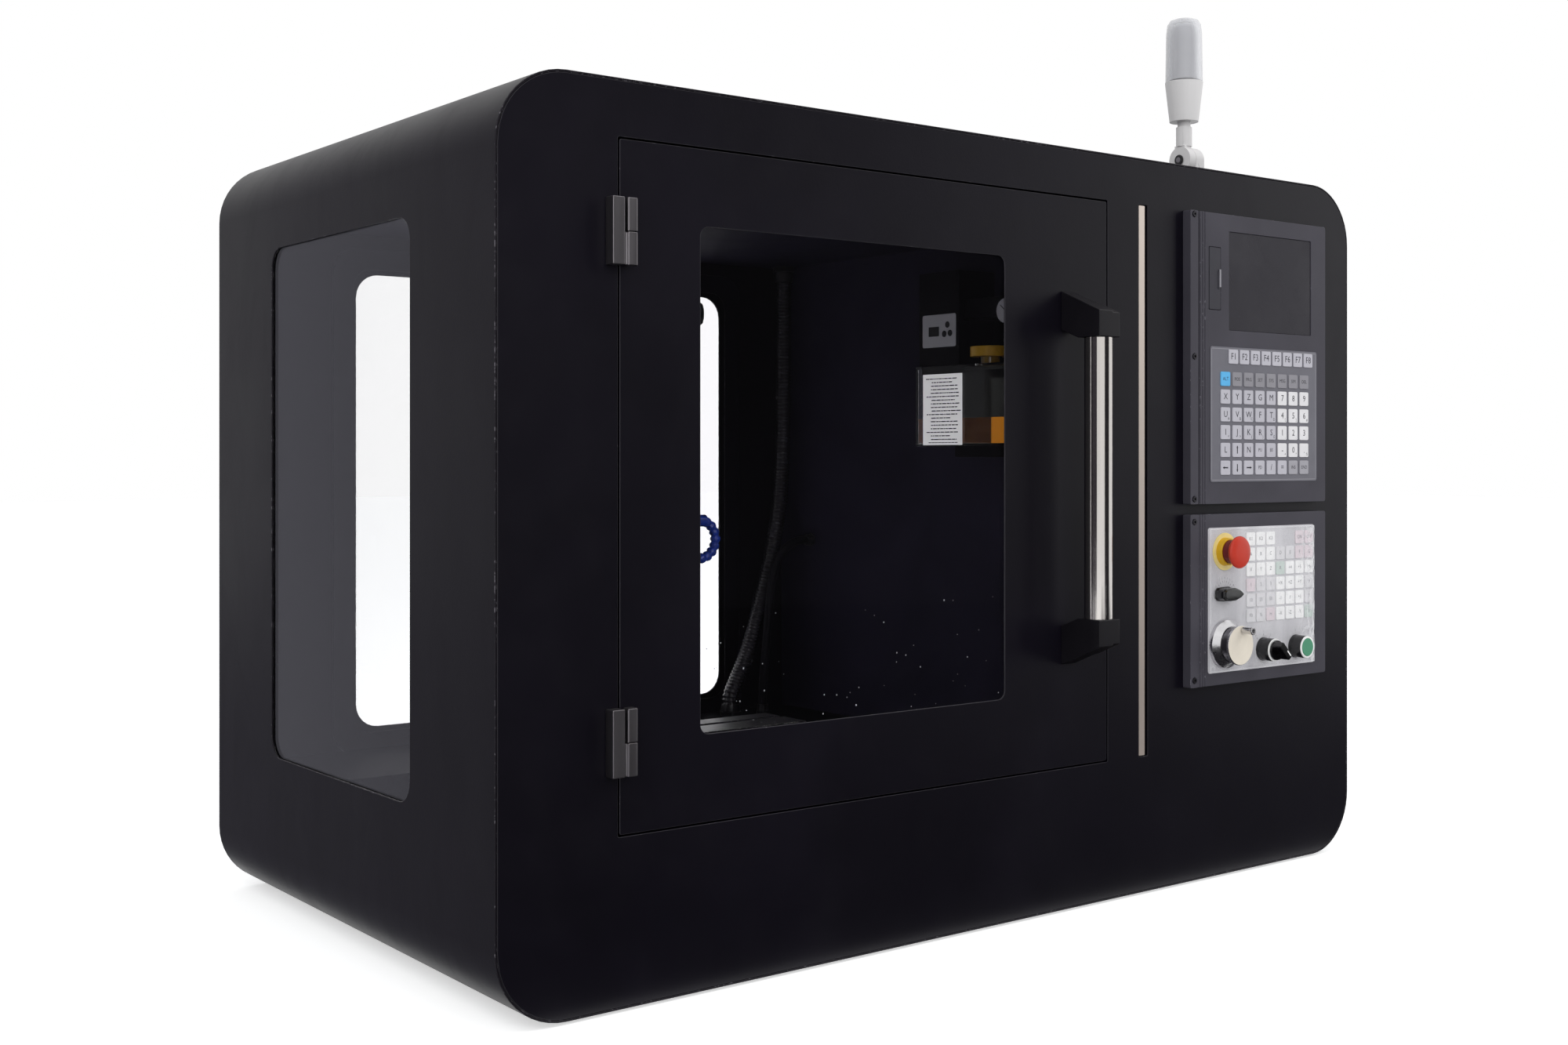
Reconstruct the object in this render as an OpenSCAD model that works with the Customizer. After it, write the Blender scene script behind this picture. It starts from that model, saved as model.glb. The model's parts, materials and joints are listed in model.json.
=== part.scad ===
// Desktop CNC milling machine: a sheet-steel enclosure with a hinged door and control panels,
// around a small three-axis mill. Millimetres, +Z up, front towards -Y.
// Each sub-part is drawn in the casing's own frame (X from the left side, Y from the front face,
// Z from the casing's underside) and in_place() moves it into the part's frame.

/* [Casing] */
// Width of the casing
body_w = 1280; // [1200:1:1500]
// Depth of the casing
body_d = 700; // [690:1:900]
// Height of the casing
body_h = 880; // [870:1:1100]
// Outer radius of the wrap's four long bends
corner_r = 75; // [30:1:90]
// Thickness of the wrap sheet
sheet_t = 2.5; // [1.5:0.1:4]
// Thickness of the front and rear plates
plate_t = 3; // [2:0.1:5]
// Height of the foot pads
foot_h = 3; // [2:0.5:12]
// Length of a foot pad
foot_l = 109; // [60:1:140]
// Width of a foot pad
foot_w = 40; // [30:1:60]
// Distance of a foot pad from the casing's side
foot_inset = 72.5; // [50:0.5:120]

/* [Windows] */
// Distance of the side window from the front face
side_win_y = 174; // [120:1:220]
// Width of the side window
side_win_w = 357; // [250:1:400]
// Height of the side window's lower edge
side_win_z = 182; // [150:1:260]
// Height of the side window
side_win_h = 576; // [400:1:600]
// Distance of the rear window from the left side
rear_win_x = 178; // [120:1:220]
// Width of the rear window
rear_win_w = 562; // [400:1:600]
// Height of the rear window's lower edge
rear_win_z = 177; // [160:1:260]
// Height of the rear window
rear_win_h = 578; // [400:1:600]
// Corner radius of the side and rear windows
win_r = 24; // [8:1:40]
// Thickness of the window panes
pane_t = 5; // [3:0.5:8]
// How far a pane laps over the edge of its window
pane_lap = 20; // [12:1:24]

/* [Door] */
// Distance of the door opening from the left side
door_x = 130; // [125:1:150]
// Width of the door opening
door_w = 678; // [600:1:700]
// Height of the door opening's lower edge
door_z = 163; // [140:1:200]
// Height of the door opening
door_h = 661.5; // [600:0.5:690]
// Gap round the door
door_gap = 2; // [1.5:0.1:4]
// Thickness of the door skin
door_t = 2; // [1.5:0.1:3]
// Depth of the door's folded edge
door_fold = 20; // [12:1:22]
// Distance of the door window from the door opening's left edge
door_win_x = 95; // [70:1:120]
// Distance of the door window from the door opening's right edge
door_win_right = 169; // [130:1:250]
// Distance of the door window from the door opening's lower edge
door_win_z = 88; // [60:1:110]
// Distance of the door window from the door opening's upper edge
door_win_top = 77.5; // [60:0.5:130]
// Corner radius of the door window
door_win_r = 10; // [4:1:30]

/* [Hinges] */
// Height of one hinge
hinge_h = 64; // [40:1:80]
// How far a hinge stands off the front face
hinge_out = 14; // [12:0.5:18]
// Radius of the hinge pin
hinge_pin_r = 3; // [2:0.1:4]
// Distance of each hinge's centre from the door opening's nearer end
hinge_end = 90.5; // [70:0.5:130]

/* [Handle] */
// Radius of the handle tube
handle_r = 16; // [10:0.5:20]
// Wall of the handle tube
handle_wall = 2; // [1:0.1:4]
// Length of tube between the brackets
handle_l = 320; // [200:1:420]
// Distance of the handle's centre line from the door face
handle_off = 42; // [34:1:60]
// Distance of the handle's centre line from the door opening's right edge
handle_inset = 62; // [50:1:100]
// Height of the tube's lower end above the door opening's lower edge
handle_rise = 175; // [120:1:220]
// Height of a bracket's square end block
bracket_h = 30; // [24:1:50]

/* [Light strip] */
// Distance of the strip's slot from the door opening's right edge
strip_gap = 54.5; // [40:0.5:60]
// Width of the strip's slot
strip_w = 16; // [12:0.5:20]
// Width of the diffuser
diffuser_w = 10.5; // [8:0.5:12]

/* [Control panels] */
// Distance of the panels from the left side
panel_x = 946; // [930:1:960]
// Width of the panels
panel_w = 271; // [260:1:275]
// Lower edge of the upper panel
panel_up_z = 464; // [460:1:470]
// Height of the upper panel
panel_up_h = 360; // [350:1:370]
// Lower edge of the lower panel
panel_low_z = 239.6; // [230:0.1:244]
// Height of the lower panel
panel_low_h = 211.8; // [205:0.1:214]
// How far the panels stand off the front face
panel_out = 10; // [8:0.5:16]
// Width of the panels' raised left rail
rail_w = 15; // [10:0.5:17]
// Width of the display
display_w = 167; // [150:1:180]
// Height of the display
display_h = 123; // [110:1:124]
// Width of the key overlay
overlay_w = 215; // [205:1:222]
// Height of the key overlay
overlay_h = 168; // [160:1:170]
// Thickness of the key overlay
overlay_t = 0.8; // [0.5:0.1:2]
// Height that a key stands off its overlay
key_out = 1.2; // [0.5:0.1:2]
// Pitch of the upper panel's keys across
key_pitch = 22.7; // [20:0.1:23]
// Pitch of the upper panel's key rows
key_row = 22.1; // [20:0.1:23]
// Width of the silver key plate
membrane_w = 212.9; // [205:0.1:220]
// Height of the silver key plate
membrane_h = 179.8; // [170:0.1:190]
// Thickness of the silver key plate
membrane_t = 1; // [0.5:0.1:2]
// Pitch of the lower panel's keys across
low_key_pitch = 19.9; // [18:0.1:20.5]
// Pitch of the lower panel's key rows
low_key_row = 19.3; // [18:0.1:20.5]
// Radius of the panel screws' heads
screw_r = 3.5; // [2.5:0.1:5]

/* [Switches] */
// Radius of the stop button's red head
estop_r = 20; // [15:0.5:22]
// Radius of the stop button's stem
estop_stem_r = 14.5; // [12:0.5:15]
// How far the stop button's yellow collar stands off the key plate
estop_collar = 8.5; // [7:0.5:10]
// Travel of the stop button
estop_travel = 4; // [2:0.5:6]
// Radius of the handwheel
wheel_r = 24.5; // [20:0.5:28]
// Radius of the handwheel's flange
wheel_flange_r = 30; // [28:0.5:34]
// Radius of the switch collars
ring_r = 15; // [13:0.5:18]
// How far a switch collar stands off the key plate
ring_l = 19; // [14:0.5:22]
// Radius of the green button's cap
button_r = 11.5; // [8:0.5:12.5]
// Length of the mode knob's bar
mode_l = 40; // [30:1:44]
// Width of the mode knob's bar
mode_w = 18; // [12:0.5:20]
// Travel of the green button
button_travel = 3.5; // [2:0.5:5]

/* [Signal light] */
// Distance of the signal light from the left side
tower_x = 1102; // [1000:1:1150]
// Distance of the signal light from the front face
tower_y = 130; // [90:1:200]
// Radius of the lens
lens_r = 24.5; // [18:0.5:26]
// Height of the lens
lens_h = 85; // [60:1:120]
// Height of the cone under the lens
cone_h = 53; // [30:1:70]
// Height of the fold's pivot above the roof
tower_pivot = 38.5; // [34:0.5:44]
// Height of the post above the fold's pivot
post_h = 51.5; // [40:0.5:80]
// Radius of the post
post_r = 10.5; // [8:0.5:12]
// Radius of the fold's pivot pin
tower_pin_r = 4; // [3:0.1:5]

/* [Mill] */
// Distance of the mill's centre plane from the left side
mill_x = 385; // [375:1:395]
// Distance of the spindle's axis from the front face
spindle_y = 300; // [290:1:310]
// Width of the base casting
base_w = 260; // [240:1:280]
// Length of the base casting
base_l = 520; // [500:1:530]
// Height of the base casting's top
base_top = 100; // [96:1:104]
// Width of the column
column_w = 170; // [160:1:190]
// Depth of the column
column_l = 160; // [150:1:170]
// Height of the column's top
column_top = 720; // [700:1:735]
// Wall of the castings
casting_wall = 16; // [12:1:24]
// Width of a linear rail
guide_w = 15; // [12:1:20]
// Height of a linear rail
guide_h = 12; // [10:0.5:14]
// Length of the table
table_l = 420; // [380:1:440]
// Width of the table
table_w = 180; // [170:1:190]
// Height of the table's top
table_top = 195; // [190:1:198]
// Width of a T-slot's mouth
slot_w = 10; // [8:0.5:12]
// Distance of the outer T-slots from the middle one
slot_pitch = 55; // [50:1:60]
// Depth of a T-slot
slot_h = 18; // [16:0.5:20]
// Radius of the X and Y ball screws
screw_xy_r = 6; // [5:0.5:7]
// Radius of the Z ball screw
screw_z_r = 8; // [6:0.5:9]
// Size of the axis motors across
motor_w = 57; // [42:1:60]
// Radius of the head's round nose
head_r = 38; // [34:0.5:46]
// Lower end of the head casting at rest
head_z = 420; // [410:1:440]
// Height of the head casting
head_h = 220; // [200:1:240]
// Radius of the spindle motor
spindle_motor_r = 36; // [32:0.5:42]
// Height of the spindle motor
spindle_motor_h = 120; // [90:1:130]
// Radius of the spindle
spindle_r = 20; // [16:0.5:24]
// How far the spindle's nose hangs below the head
nose_h = 42; // [30:1:50]
// Radius of the tool bore
tool_r = 8; // [5:0.5:10]
// Depth of the tool bore
tool_l = 60; // [40:1:70]

/* [Chamber] */
// Distance of the chamber's right wall from the left side
wall_x = 856; // [845:1:860]
// Height of the chamber's roof
roof_z = 805; // [795:1:830]
// Height of the tray's floor
tray_z = 60; // [40:1:70]
// Height of the tray's rear shelf
shelf_z = 148; // [140:1:155]
// Distance of the rear shelf's step from the rear plate
shelf_l = 197; // [180:1:205]
// Side of the square drain grille
grille_w = 70; // [50:1:90]

/* [Louvres] */
// Distance of the rear plate's louvres from the left side
louvre_x = 940; // [900:1:1000]
// Height of the lowest louvre
louvre_z = 180; // [120:1:240]
// Length of a louvre
louvre_l = 90; // [60:1:110]
// Height of a louvre's slot
louvre_h = 8; // [5:0.5:12]
// Pitch of the louvre rows
louvre_row = 24; // [18:0.5:30]
// Distance between the two columns of louvres
louvre_gap = 30; // [15:1:40]

/* [Oiler] */
// Distance of the oiler from the front face
oiler_y = 120; // [100:1:240]
// Length of the oiler's reservoir
oiler_l = 196; // [160:1:220]
// Height of the reservoir's underside
oiler_z = 536; // [500:1:560]
// Height of the reservoir
oiler_h = 104; // [80:1:130]
// Depth of the reservoir
oiler_w = 70; // [50:1:90]
// Height of the oiler's pump
pump_h = 122; // [100:1:140]
// Wall of the reservoir
oiler_wall = 3; // [2:0.5:5]

/* [Electrics] */
// Distance of the mounting plate from the front face
plate_y = 230; // [200:1:260]
// Height of the mounting plate's lower edge
plate_z = 130; // [100:1:160]
// Length of the mounting plate
plate_l = 400; // [360:1:440]
// Height of the mounting plate
plate_h = 640; // [580:1:680]
// Width of one motor drive
drive_w = 60; // [40:1:80]
// Height of one motor drive
drive_h = 160; // [120:1:200]
// Depth of one motor drive
drive_l = 90; // [60:1:110]
// Pitch of the motor drives
drive_pitch = 92; // [70:1:100]
// Height of the supply and the controller
supply_h = 240; // [180:1:260]

/* [Hoses] */
// Radius of the corrugated conduit
conduit_r = 12; // [8:0.5:14]
// Radius of the small hose
hose_r = 6; // [4:0.5:8]
// Radius of the bore of the power entry gland
power_bore_r = 6.5; // [5:0.1:9]
// How far the power entry gland stands off the rear plate
power_gland_l = 26; // [18:1:40]

/* [Fits] */
// Radial clearance of pins and shafts that turn or slide
running = 0.05; // [0.02:0.01:0.1]
// Clearance between large sliding faces
slide_gap = 0.3; // [0.2:0.05:0.6]
// Seam between the wrap and the plates
seam = 0.3; // [0.1:0.05:1]

/* [Hidden] */
cut = 1;                       // how far a cutting solid runs past the face it cuts
front_reach = handle_off + handle_r;
y_front = (front_reach - body_d - power_gland_l) / 2;

// Door, hinges and handle
door_x1 = door_x + door_w;
door_z1 = door_z + door_h;
jamb_t = 2;
lip_w = 12;
seal_t = 2.7;
lip_y = door_fold + 1.3 + seal_t;
hinge_x = door_x + door_gap + 7.4;
hinge_y = -hinge_out / 2;
barrel_r = hinge_out / 2 - 0.65;
hinge_block = [door_x - 14, door_x - 0.5];
hinge_mid = [door_z + hinge_end, door_z1 - hinge_end];
handle_x = door_x1 - handle_inset;
handle_z = door_z + handle_rise;
bracket_w = 2 * handle_r + 2;
arm_w = 23;
arm_rise = 14;                 // how far the bracket's top climbs over its end block
arm_step = 2;                  // how far the end block's top lies below the arm's

// Light strip
strip_x = door_x1 + strip_gap;
strip_depth = 18;
strip_wall = 1.5;

// Control panels, measured from their own left edge and lower edge
panel_y = -panel_out;
face_x = panel_x + 31;         // left edge of the flat face, right of the rail and the ribbed strip
rail_out = 2;
rib_n = 3;
up_screws = [6.5, 181, 355];
low_screws = [9, 202.9];
display_x = panel_x + 73;
display_z = panel_up_z + 216;
overlay_x = panel_x + 36;
overlay_z = panel_up_z + 27;
usb_x = panel_x + 34;
usb_z = panel_up_z + 240;
usb_w = 23;
usb_h = 78;
usb_pin_r = 1.2;
usb_pin = [usb_x + 2.8, panel_y + 2.2];
key_w = 18;
key_h = 17.6;
key_x = overlay_x + 19;        // left edge of the first column of keys
key_z = panel_up_z + 164;      // upper edge of the first row of keys
fkey_x = overlay_x + 34.7;
fkey_z = panel_up_z + 192;
fkey_pitch = 21.7;
low_key_x = panel_x + 105;
low_key_z = panel_low_z + 187.4;
low_key_w = 17;
low_key_h = 16.5;
low_first_row = [0, 1, 2, 5, 6];
membrane_x = panel_x + 31.5;
membrane_z = panel_low_z + 15.1;
membrane_y = panel_y - membrane_t;

// Switches: [x, z] of each one's axis
estop_at = [panel_x + 63, panel_low_z + 165];
mode_at = [panel_x + 63, panel_low_z + 112.4];
wheel_at = [panel_x + 63, panel_low_z + 50.4];
selector_at = [panel_x + 139.5, panel_low_z + 39];
button_at = [panel_x + 205.5, panel_low_z + 38.4];
shaft_r = 3;
wheel_shaft_r = 4;
estop_shaft_r = 11;
switch_l = 34;                 // depth of a switch body behind the front plate
switch_w = 30;
switch_h = 23;

// Signal light
post_top = tower_pivot + post_h;
lens_z = post_top + cone_h;

// Mill
base_y = 130;
column_y = base_y + base_l - column_l - 10;
rail_half = 85;
rail_z_half = 65;
saddle_w = 220;
saddle_l = 170;
saddle_top = base_top + 40;
guide_top = saddle_top + 10;
way_half = 45;
x_screw_z = guide_top + 8;
y_screw_z = base_top - 18;
nut_w = 34;
end_plate_t = 10;
z_screw_y = column_y + 15;
z_top = column_top - 20;
nut_z = head_z + head_h - 60;
head_top = head_z + head_h;
face_y = column_y - guide_h;   // front of the Z rails
motor_l = 48;
motor_shaft_r = 4;
trough_w = 62;
trough_h = 52;

// Chamber
liner_t = 2;
tray_t = 2;
frame_t = 2;                   // how far a pane's clamp frame stands behind the pane
flange_w = 20;
grille_at = [657, 590];

// Oiler
oiler_x = wall_x - oiler_w;
oiler_split = 120;             // the pump stands on the reservoir from here back
gauge_r = 17;
cap_r = 26;
cap_neck = 10;                  // height of the filler neck that the cap sits on
cap_pin_r = 12;
cap_at = [oiler_x + 34, oiler_y + 91];

// Hoses: points chosen by hand, from the casing's left, front and underside
conduit_route = [
    [838, 668, 782], [838, 668, 740], [838, 668, 700], [838, 669, 660], [838, 670, 620],
    [838, 670, 580], [837, 670, 540], [835, 670, 500], [831, 669, 460], [824, 668, 420],
    [814, 666, 380], [802, 664, 340], [789, 662, 305], [776, 660, 270], [763, 657, 238],
    [750, 655, 214], [739, 653, 196], [731, 652, 182], [729, 652, 174], [729, 652, 166]
];
hose_route = [
    [845, 624, 400], [837, 624, 400], [824, 624, 398], [811, 624, 391], [799, 625, 379], [790, 626, 362],
    [785, 627, 342], [782, 628, 318], [780, 629, 292], [778, 630, 264], [776, 631, 236],
    [774, 632, 210], [772, 632, 186], [772, 632, 164]
];
gland_high = conduit_route[0];
gland_low = conduit_route[len(conduit_route) - 1];
hose_start = hose_route[0];
hose_end = hose_route[len(hose_route) - 1];
gland_r = 17;
nozzle_n = 9;                  // links of the coolant nozzle hose
nozzle_front = 27;
nozzle_in = 11;                 // from the head's flank in to the arc's middle
nozzle_bend = 22;
nozzle_steps = 4 * nozzle_n;
nozzle_route = [
    for (i = [0:nozzle_steps])
        let (a = 75 - i * 190 / nozzle_steps)
        [nozzle_bend * cos(a), 0, nozzle_bend * sin(a)]
];
nozzle_radii = [for (i = [0:nozzle_steps]) 4.4 + 1.8 * abs(sin(i * 45))];
power_at = [1180, 130];

// Rear plate
louvre_n = 11;

// Electrics
plate_x = wall_x + liner_t + 12;
plate_in = 2;                  // thickness of the mounting plate
drive_n = 4;

// ---------------------------------------------------------------- helpers

module in_place() {
    translate([-body_w / 2, y_front, foot_h]) children();
}

// The corner points of a rounded rectangle that is centred on the origin
function round_rect(w, h, r, n = 6) = [
    for (c = [0:3], k = [0:n])
        let (a = 90 * c + 90 * k / n,
             sx = (c == 0 || c == 3) ? 1 : -1,
             sy = c < 2 ? 1 : -1)
        [sx * (w / 2 - r) + r * cos(a), sy * (h / 2 - r) + r * sin(a)]
];

// A plate that faces the front: x, z and y each given as [from, to]
module front_plate(x, z, y, r, n = 6) {
    translate([(x[0] + x[1]) / 2, y[1], (z[0] + z[1]) / 2])
        rotate([90, 0, 0])
            linear_extrude(y[1] - y[0])
                polygon(round_rect(x[1] - x[0], z[1] - z[0], r, n));
}

// A plate that faces the side: y, z and x each given as [from, to]
module side_plate(y, z, x, r, n = 6) {
    translate([x[0], (y[0] + y[1]) / 2, (z[0] + z[1]) / 2])
        rotate([90, 0, 90])
            linear_extrude(x[1] - x[0])
                polygon(round_rect(y[1] - y[0], z[1] - z[0], r, n));
}

module block(x, y, z) {
    translate([x[0], y[0], z[0]]) cube([x[1] - x[0], y[1] - y[0], z[1] - z[0]]);
}

// A round bar along Y: at is [x, z], y is [from, to]
module bar_y(at, r, y, fn = 48) {
    translate([at[0], y[1], at[1]]) rotate([90, 0, 0]) cylinder(h = y[1] - y[0], r = r, $fn = fn);
}

// A round bar along X: at is [y, z], x is [from, to]
module bar_x(at, r, x, fn = 48) {
    translate([x[0], at[0], at[1]]) rotate([0, 90, 0]) cylinder(h = x[1] - x[0], r = r, $fn = fn);
}

// A solid turned about an axis along Y: profile holds [radius, distance towards the front]
module turned_y(at, y, profile, fn = 64) {
    translate([at[0], y, at[1]]) rotate([90, 0, 0]) rotate_extrude($fn = fn) polygon(profile);
}

// The wrap's inner face at a height within its lower bend
function casing_inner_x(z) = corner_r - sqrt(pow(corner_r - sheet_t, 2) - pow(corner_r - z, 2));

// Grows an interval at both ends
function wider(a, by) = [a[0] - by, a[1] + by];

// The casing's outline, drawn in from its outer face
module casing_outline(inset) {
    r = corner_r - inset;
    translate([corner_r, inset]) square([body_w - 2 * corner_r, body_h - 2 * inset]);
    translate([inset, corner_r]) square([body_w - 2 * inset, body_h - 2 * corner_r]);
    for (x = [corner_r, body_w - corner_r], z = [corner_r, body_h - corner_r])
        translate([x, z]) circle(r = r, $fn = 96);
}

module casing_slab(inset, y) {
    translate([0, y[1], 0]) rotate([90, 0, 0]) linear_extrude(y[1] - y[0]) casing_outline(inset);
}

function along(a, b) = (b - a) / norm(b - a);

// Direction of a route at its point i
function heading(route, i) =
    i == 0 ? along(route[0], route[1])
    : i == len(route) - 1 ? along(route[i - 1], route[i])
    : along(route[i - 1], route[i + 1]);

// Two directions square to a heading, level across and the one square to both
function across(t) = let (c = cross(t, [0, 1, 0])) c / norm(c);
function upright(t) = cross(across(t), t);

// A tube of n sides along a route's points, with one radius or one for each point
module tube_along(route, r, n) {
    rings = len(route);
    radii = is_list(r) ? r : [for (p = route) r];
    points = [
        for (i = [0:rings - 1], k = [0:n - 1])
            let (t = heading(route, i), a = 360 * k / n)
            route[i] + radii[i] * (cos(a) * across(t) + sin(a) * upright(t))
    ];
    sides = [
        for (i = [0:rings - 2], k = [0:n - 1])
            let (m = (k + 1) % n)
            [i * n + k, i * n + m, (i + 1) * n + m, (i + 1) * n + k]
    ];
    first = [for (k = [0:n - 1]) n - 1 - k];
    last = [for (k = [0:n - 1]) (rings - 1) * n + k];
    polyhedron(points, concat(sides, [first, last]), convexity = 6);
}

// ---------------------------------------------------------------- casing

side_y = [side_win_y, side_win_y + side_win_w];
side_z = [side_win_z, side_win_z + side_win_h];
rear_x = [rear_win_x, rear_win_x + rear_win_w];
rear_z = [rear_win_z, rear_win_z + rear_win_h];
door_xs = [door_x, door_x1];
door_zs = [door_z, door_z1];
skin_x = wider(door_xs, -door_gap);
skin_z = wider(door_zs, -door_gap);
win_xs = [door_x + door_win_x, door_x1 - door_win_right];
win_zs = [door_z + door_win_z, door_z1 - door_win_top];
strip_xs = [strip_x, strip_x + strip_w];
panel_xs = [panel_x, panel_x + panel_w];
up_zs = [panel_up_z, panel_up_z + panel_up_h];
low_zs = [panel_low_z, panel_low_z + panel_low_h];
switch_holes = [
    [estop_at, estop_shaft_r + 1], [mode_at, shaft_r + 1], [wheel_at, wheel_shaft_r + 1],
    [selector_at, shaft_r + 1], [button_at, button_r - 2]
];

module wrap_shell() {
    color("#4c4c52") in_place() difference() {
        casing_slab(0, [0, body_d]);
        casing_slab(sheet_t, [-cut, body_d + cut]);
        side_plate(side_y, side_z, [-cut, sheet_t + cut], win_r);
        translate([tower_x, tower_y, body_h - sheet_t - cut])
            cylinder(h = sheet_t + 2 * cut, r = 6, $fn = 32);
    }
}

// The slots that let air through the rear plate behind the electrics
module louvres() {
    for (i = [0:louvre_n - 1], j = [0:1])
        let (x = louvre_x + j * (louvre_l + louvre_gap), z = louvre_z + i * louvre_row)
        front_plate([x, x + louvre_l], [z, z + louvre_h], [body_d - plate_t - cut, body_d + cut],
                    louvre_h / 2 - 0.1, 4);
}

module front_panel() {
    color("#1c1b20") in_place() {
        difference() {
            casing_slab(sheet_t + seam, [0, plate_t]);
            front_plate(door_xs, door_zs, [-cut, plate_t + cut], 2, 3);
            front_plate(strip_xs, door_zs, [-cut, plate_t + cut], 1, 2);
            front_plate(wider(panel_xs, -20), wider(up_zs, -20), [-cut, plate_t + cut], 4, 3);
            for (h = switch_holes) bar_y(h[0], h[1], [-cut, plate_t + cut]);
        }
        difference() {
            front_plate(wider(door_xs, jamb_t), wider(door_zs, jamb_t), [plate_t, lip_y + jamb_t], 3, 3);
            front_plate(door_xs, door_zs, [-cut, lip_y], 2, 3);
            front_plate(wider(door_xs, -lip_w), wider(door_zs, -lip_w), [0, lip_y + 3 * cut], 2, 3);
        }
        difference() {
            front_plate(wider(strip_xs, strip_wall), wider(door_zs, strip_wall),
                        [plate_t, strip_depth], 2, 2);
            front_plate(strip_xs, door_zs, [-cut, strip_depth - strip_wall], 1, 2);
        }
    }
}

module rear_panel() {
    color("#3b3b40") in_place() difference() {
        casing_slab(sheet_t + seam, [body_d - plate_t, body_d]);
        front_plate(rear_x, rear_z, [body_d - plate_t - cut, body_d + cut], win_r + 6);
        louvres();
        bar_y(power_at, power_bore_r + 4, [body_d - plate_t - cut, body_d + cut]);
    }
}

module feet() {
    color("#2a2a2c") in_place()
        for (x = [foot_inset, body_w - foot_inset - foot_l], y = [60, body_d - 60 - foot_w])
            translate([x + foot_l / 2, y + foot_w / 2, -foot_h])
                linear_extrude(foot_h) polygon(round_rect(foot_l, foot_w, 6));
}

// The chamber's right wall and roof, one folded sheet with flanges to the plates
module chamber_liner() {
    inner = [plate_t, body_d - plate_t];
    roof_y = lip_y + jamb_t;
    color("#3d3d43") in_place() difference() {
        union() {
            block([wall_x, wall_x + liner_t], inner, [sheet_t, roof_z + liner_t]);
            block([sheet_t + seam, wall_x + liner_t], [roof_y, inner[1]], [roof_z, roof_z + liner_t]);
            block([flange_w, wall_x + liner_t], [roof_y, roof_y + liner_t], [roof_z, roof_z + flange_w]);
            block([flange_w, wall_x + liner_t], [inner[1] - liner_t, inner[1]], [roof_z, roof_z + flange_w]);
            block([wall_x, wall_x + flange_w], [inner[1] - liner_t, inner[1]], [sheet_t, roof_z]);
        }
        translate([gland_high[0], gland_high[1], roof_z - cut])
            cylinder(h = liner_t + 2 * cut, r = conduit_r - 2, $fn = 48);
        bar_x([hose_start[1], hose_start[2]], hose_r - 1, [wall_x - cut, wall_x + liner_t + cut]);
    }
}

module window_panes() {
    color("#5a6470", 0.4) in_place() {
        side_plate(wider(side_y, pane_lap), wider(side_z, pane_lap), [sheet_t, sheet_t + pane_t], win_r);
        front_plate(wider(rear_x, pane_lap), wider(rear_z, pane_lap),
                    [body_d - plate_t - pane_t, body_d - plate_t], win_r);
    }
}

// A frame that clamps a pane to the sheet: a rim round the pane and a lip behind it
module pane_frames() {
    rim = pane_lap + 12;
    color("#2b2b30") in_place() {
        difference() {
            side_plate(wider(side_y, rim), wider(side_z, rim),
                       [sheet_t, sheet_t + pane_t + frame_t], win_r + 6);
            side_plate(wider(side_y, pane_lap + seam), wider(side_z, pane_lap + seam),
                       [0, sheet_t + pane_t], win_r);
            side_plate(wider(side_y, 6), wider(side_z, 6), [0, sheet_t + pane_t + frame_t + cut], win_r);
        }
        difference() {
            front_plate(wider(rear_x, rim), wider(rear_z, rim),
                        [body_d - plate_t - pane_t - frame_t, body_d - plate_t], win_r + 6);
            front_plate(wider(rear_x, pane_lap + seam), wider(rear_z, pane_lap + seam),
                        [body_d - plate_t - pane_t, body_d], win_r);
            front_plate(wider(rear_x, 6), wider(rear_z, 6),
                        [body_d - plate_t - pane_t - frame_t - cut, body_d], win_r);
        }
    }
}

// A stepped tray round the mill's base: a low floor in front and a shelf at the rear
module chip_tray() {
    step_y = body_d - plate_t - shelf_l;
    inside = [casing_inner_x(tray_z) + seam, wall_x];
    mill = [mill_x - base_w / 2 - seam, mill_x + base_w / 2 + seam];
    shelf_end = body_d - plate_t - pane_t - frame_t - seam;
    lip = 12;
    color("#55555a") in_place() difference() {
        union() {
            block(inside, [plate_t, step_y], [tray_z, tray_z + tray_t]);
            block(inside, [step_y, step_y + tray_t], [tray_z, shelf_z + tray_t]);
            block(inside, [step_y, shelf_end], [shelf_z, shelf_z + tray_t]);
            block(inside, [plate_t, plate_t + tray_t], [tray_z, tray_z + lip]);
        }
        block(mill, [base_y - seam, base_y + base_l + seam], [0, shelf_z + tray_t + cut]);
        block([mill_x - motor_w / 2 - seam, mill_x + motor_w / 2 + seam],
              [base_y - motor_l - seam, base_y + cut], [0, tray_z + tray_t + cut]);
        block([grille_at[0] - grille_w / 2 + 6, grille_at[0] + grille_w / 2 - 6],
              [grille_at[1] - grille_w / 2 + 6, grille_at[1] + grille_w / 2 - 6],
              [shelf_z - cut, shelf_z + tray_t + cut]);
        translate([gland_low[0], gland_low[1], shelf_z - cut])
            cylinder(h = tray_t + 2 * cut, r = conduit_r - 2, $fn = 48);
        translate([hose_end[0], hose_end[1], shelf_z - cut])
            cylinder(h = tray_t + 2 * cut, r = hose_r - 1, $fn = 48);
    }
}

module drain_grille() {
    slots = 4;
    slot_l = grille_w - 20;
    pitch = slot_l / slots;
    color("#6a6a6e") in_place() translate([grille_at[0], grille_at[1], shelf_z + tray_t])
        linear_extrude(tray_t) difference() {
            polygon(round_rect(grille_w, grille_w, 5));
            for (i = [0:slots - 1])
                translate([0, (i - (slots - 1) / 2) * pitch]) polygon(round_rect(slot_l, pitch / 2, 2.9, 4));
        }
}

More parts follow.
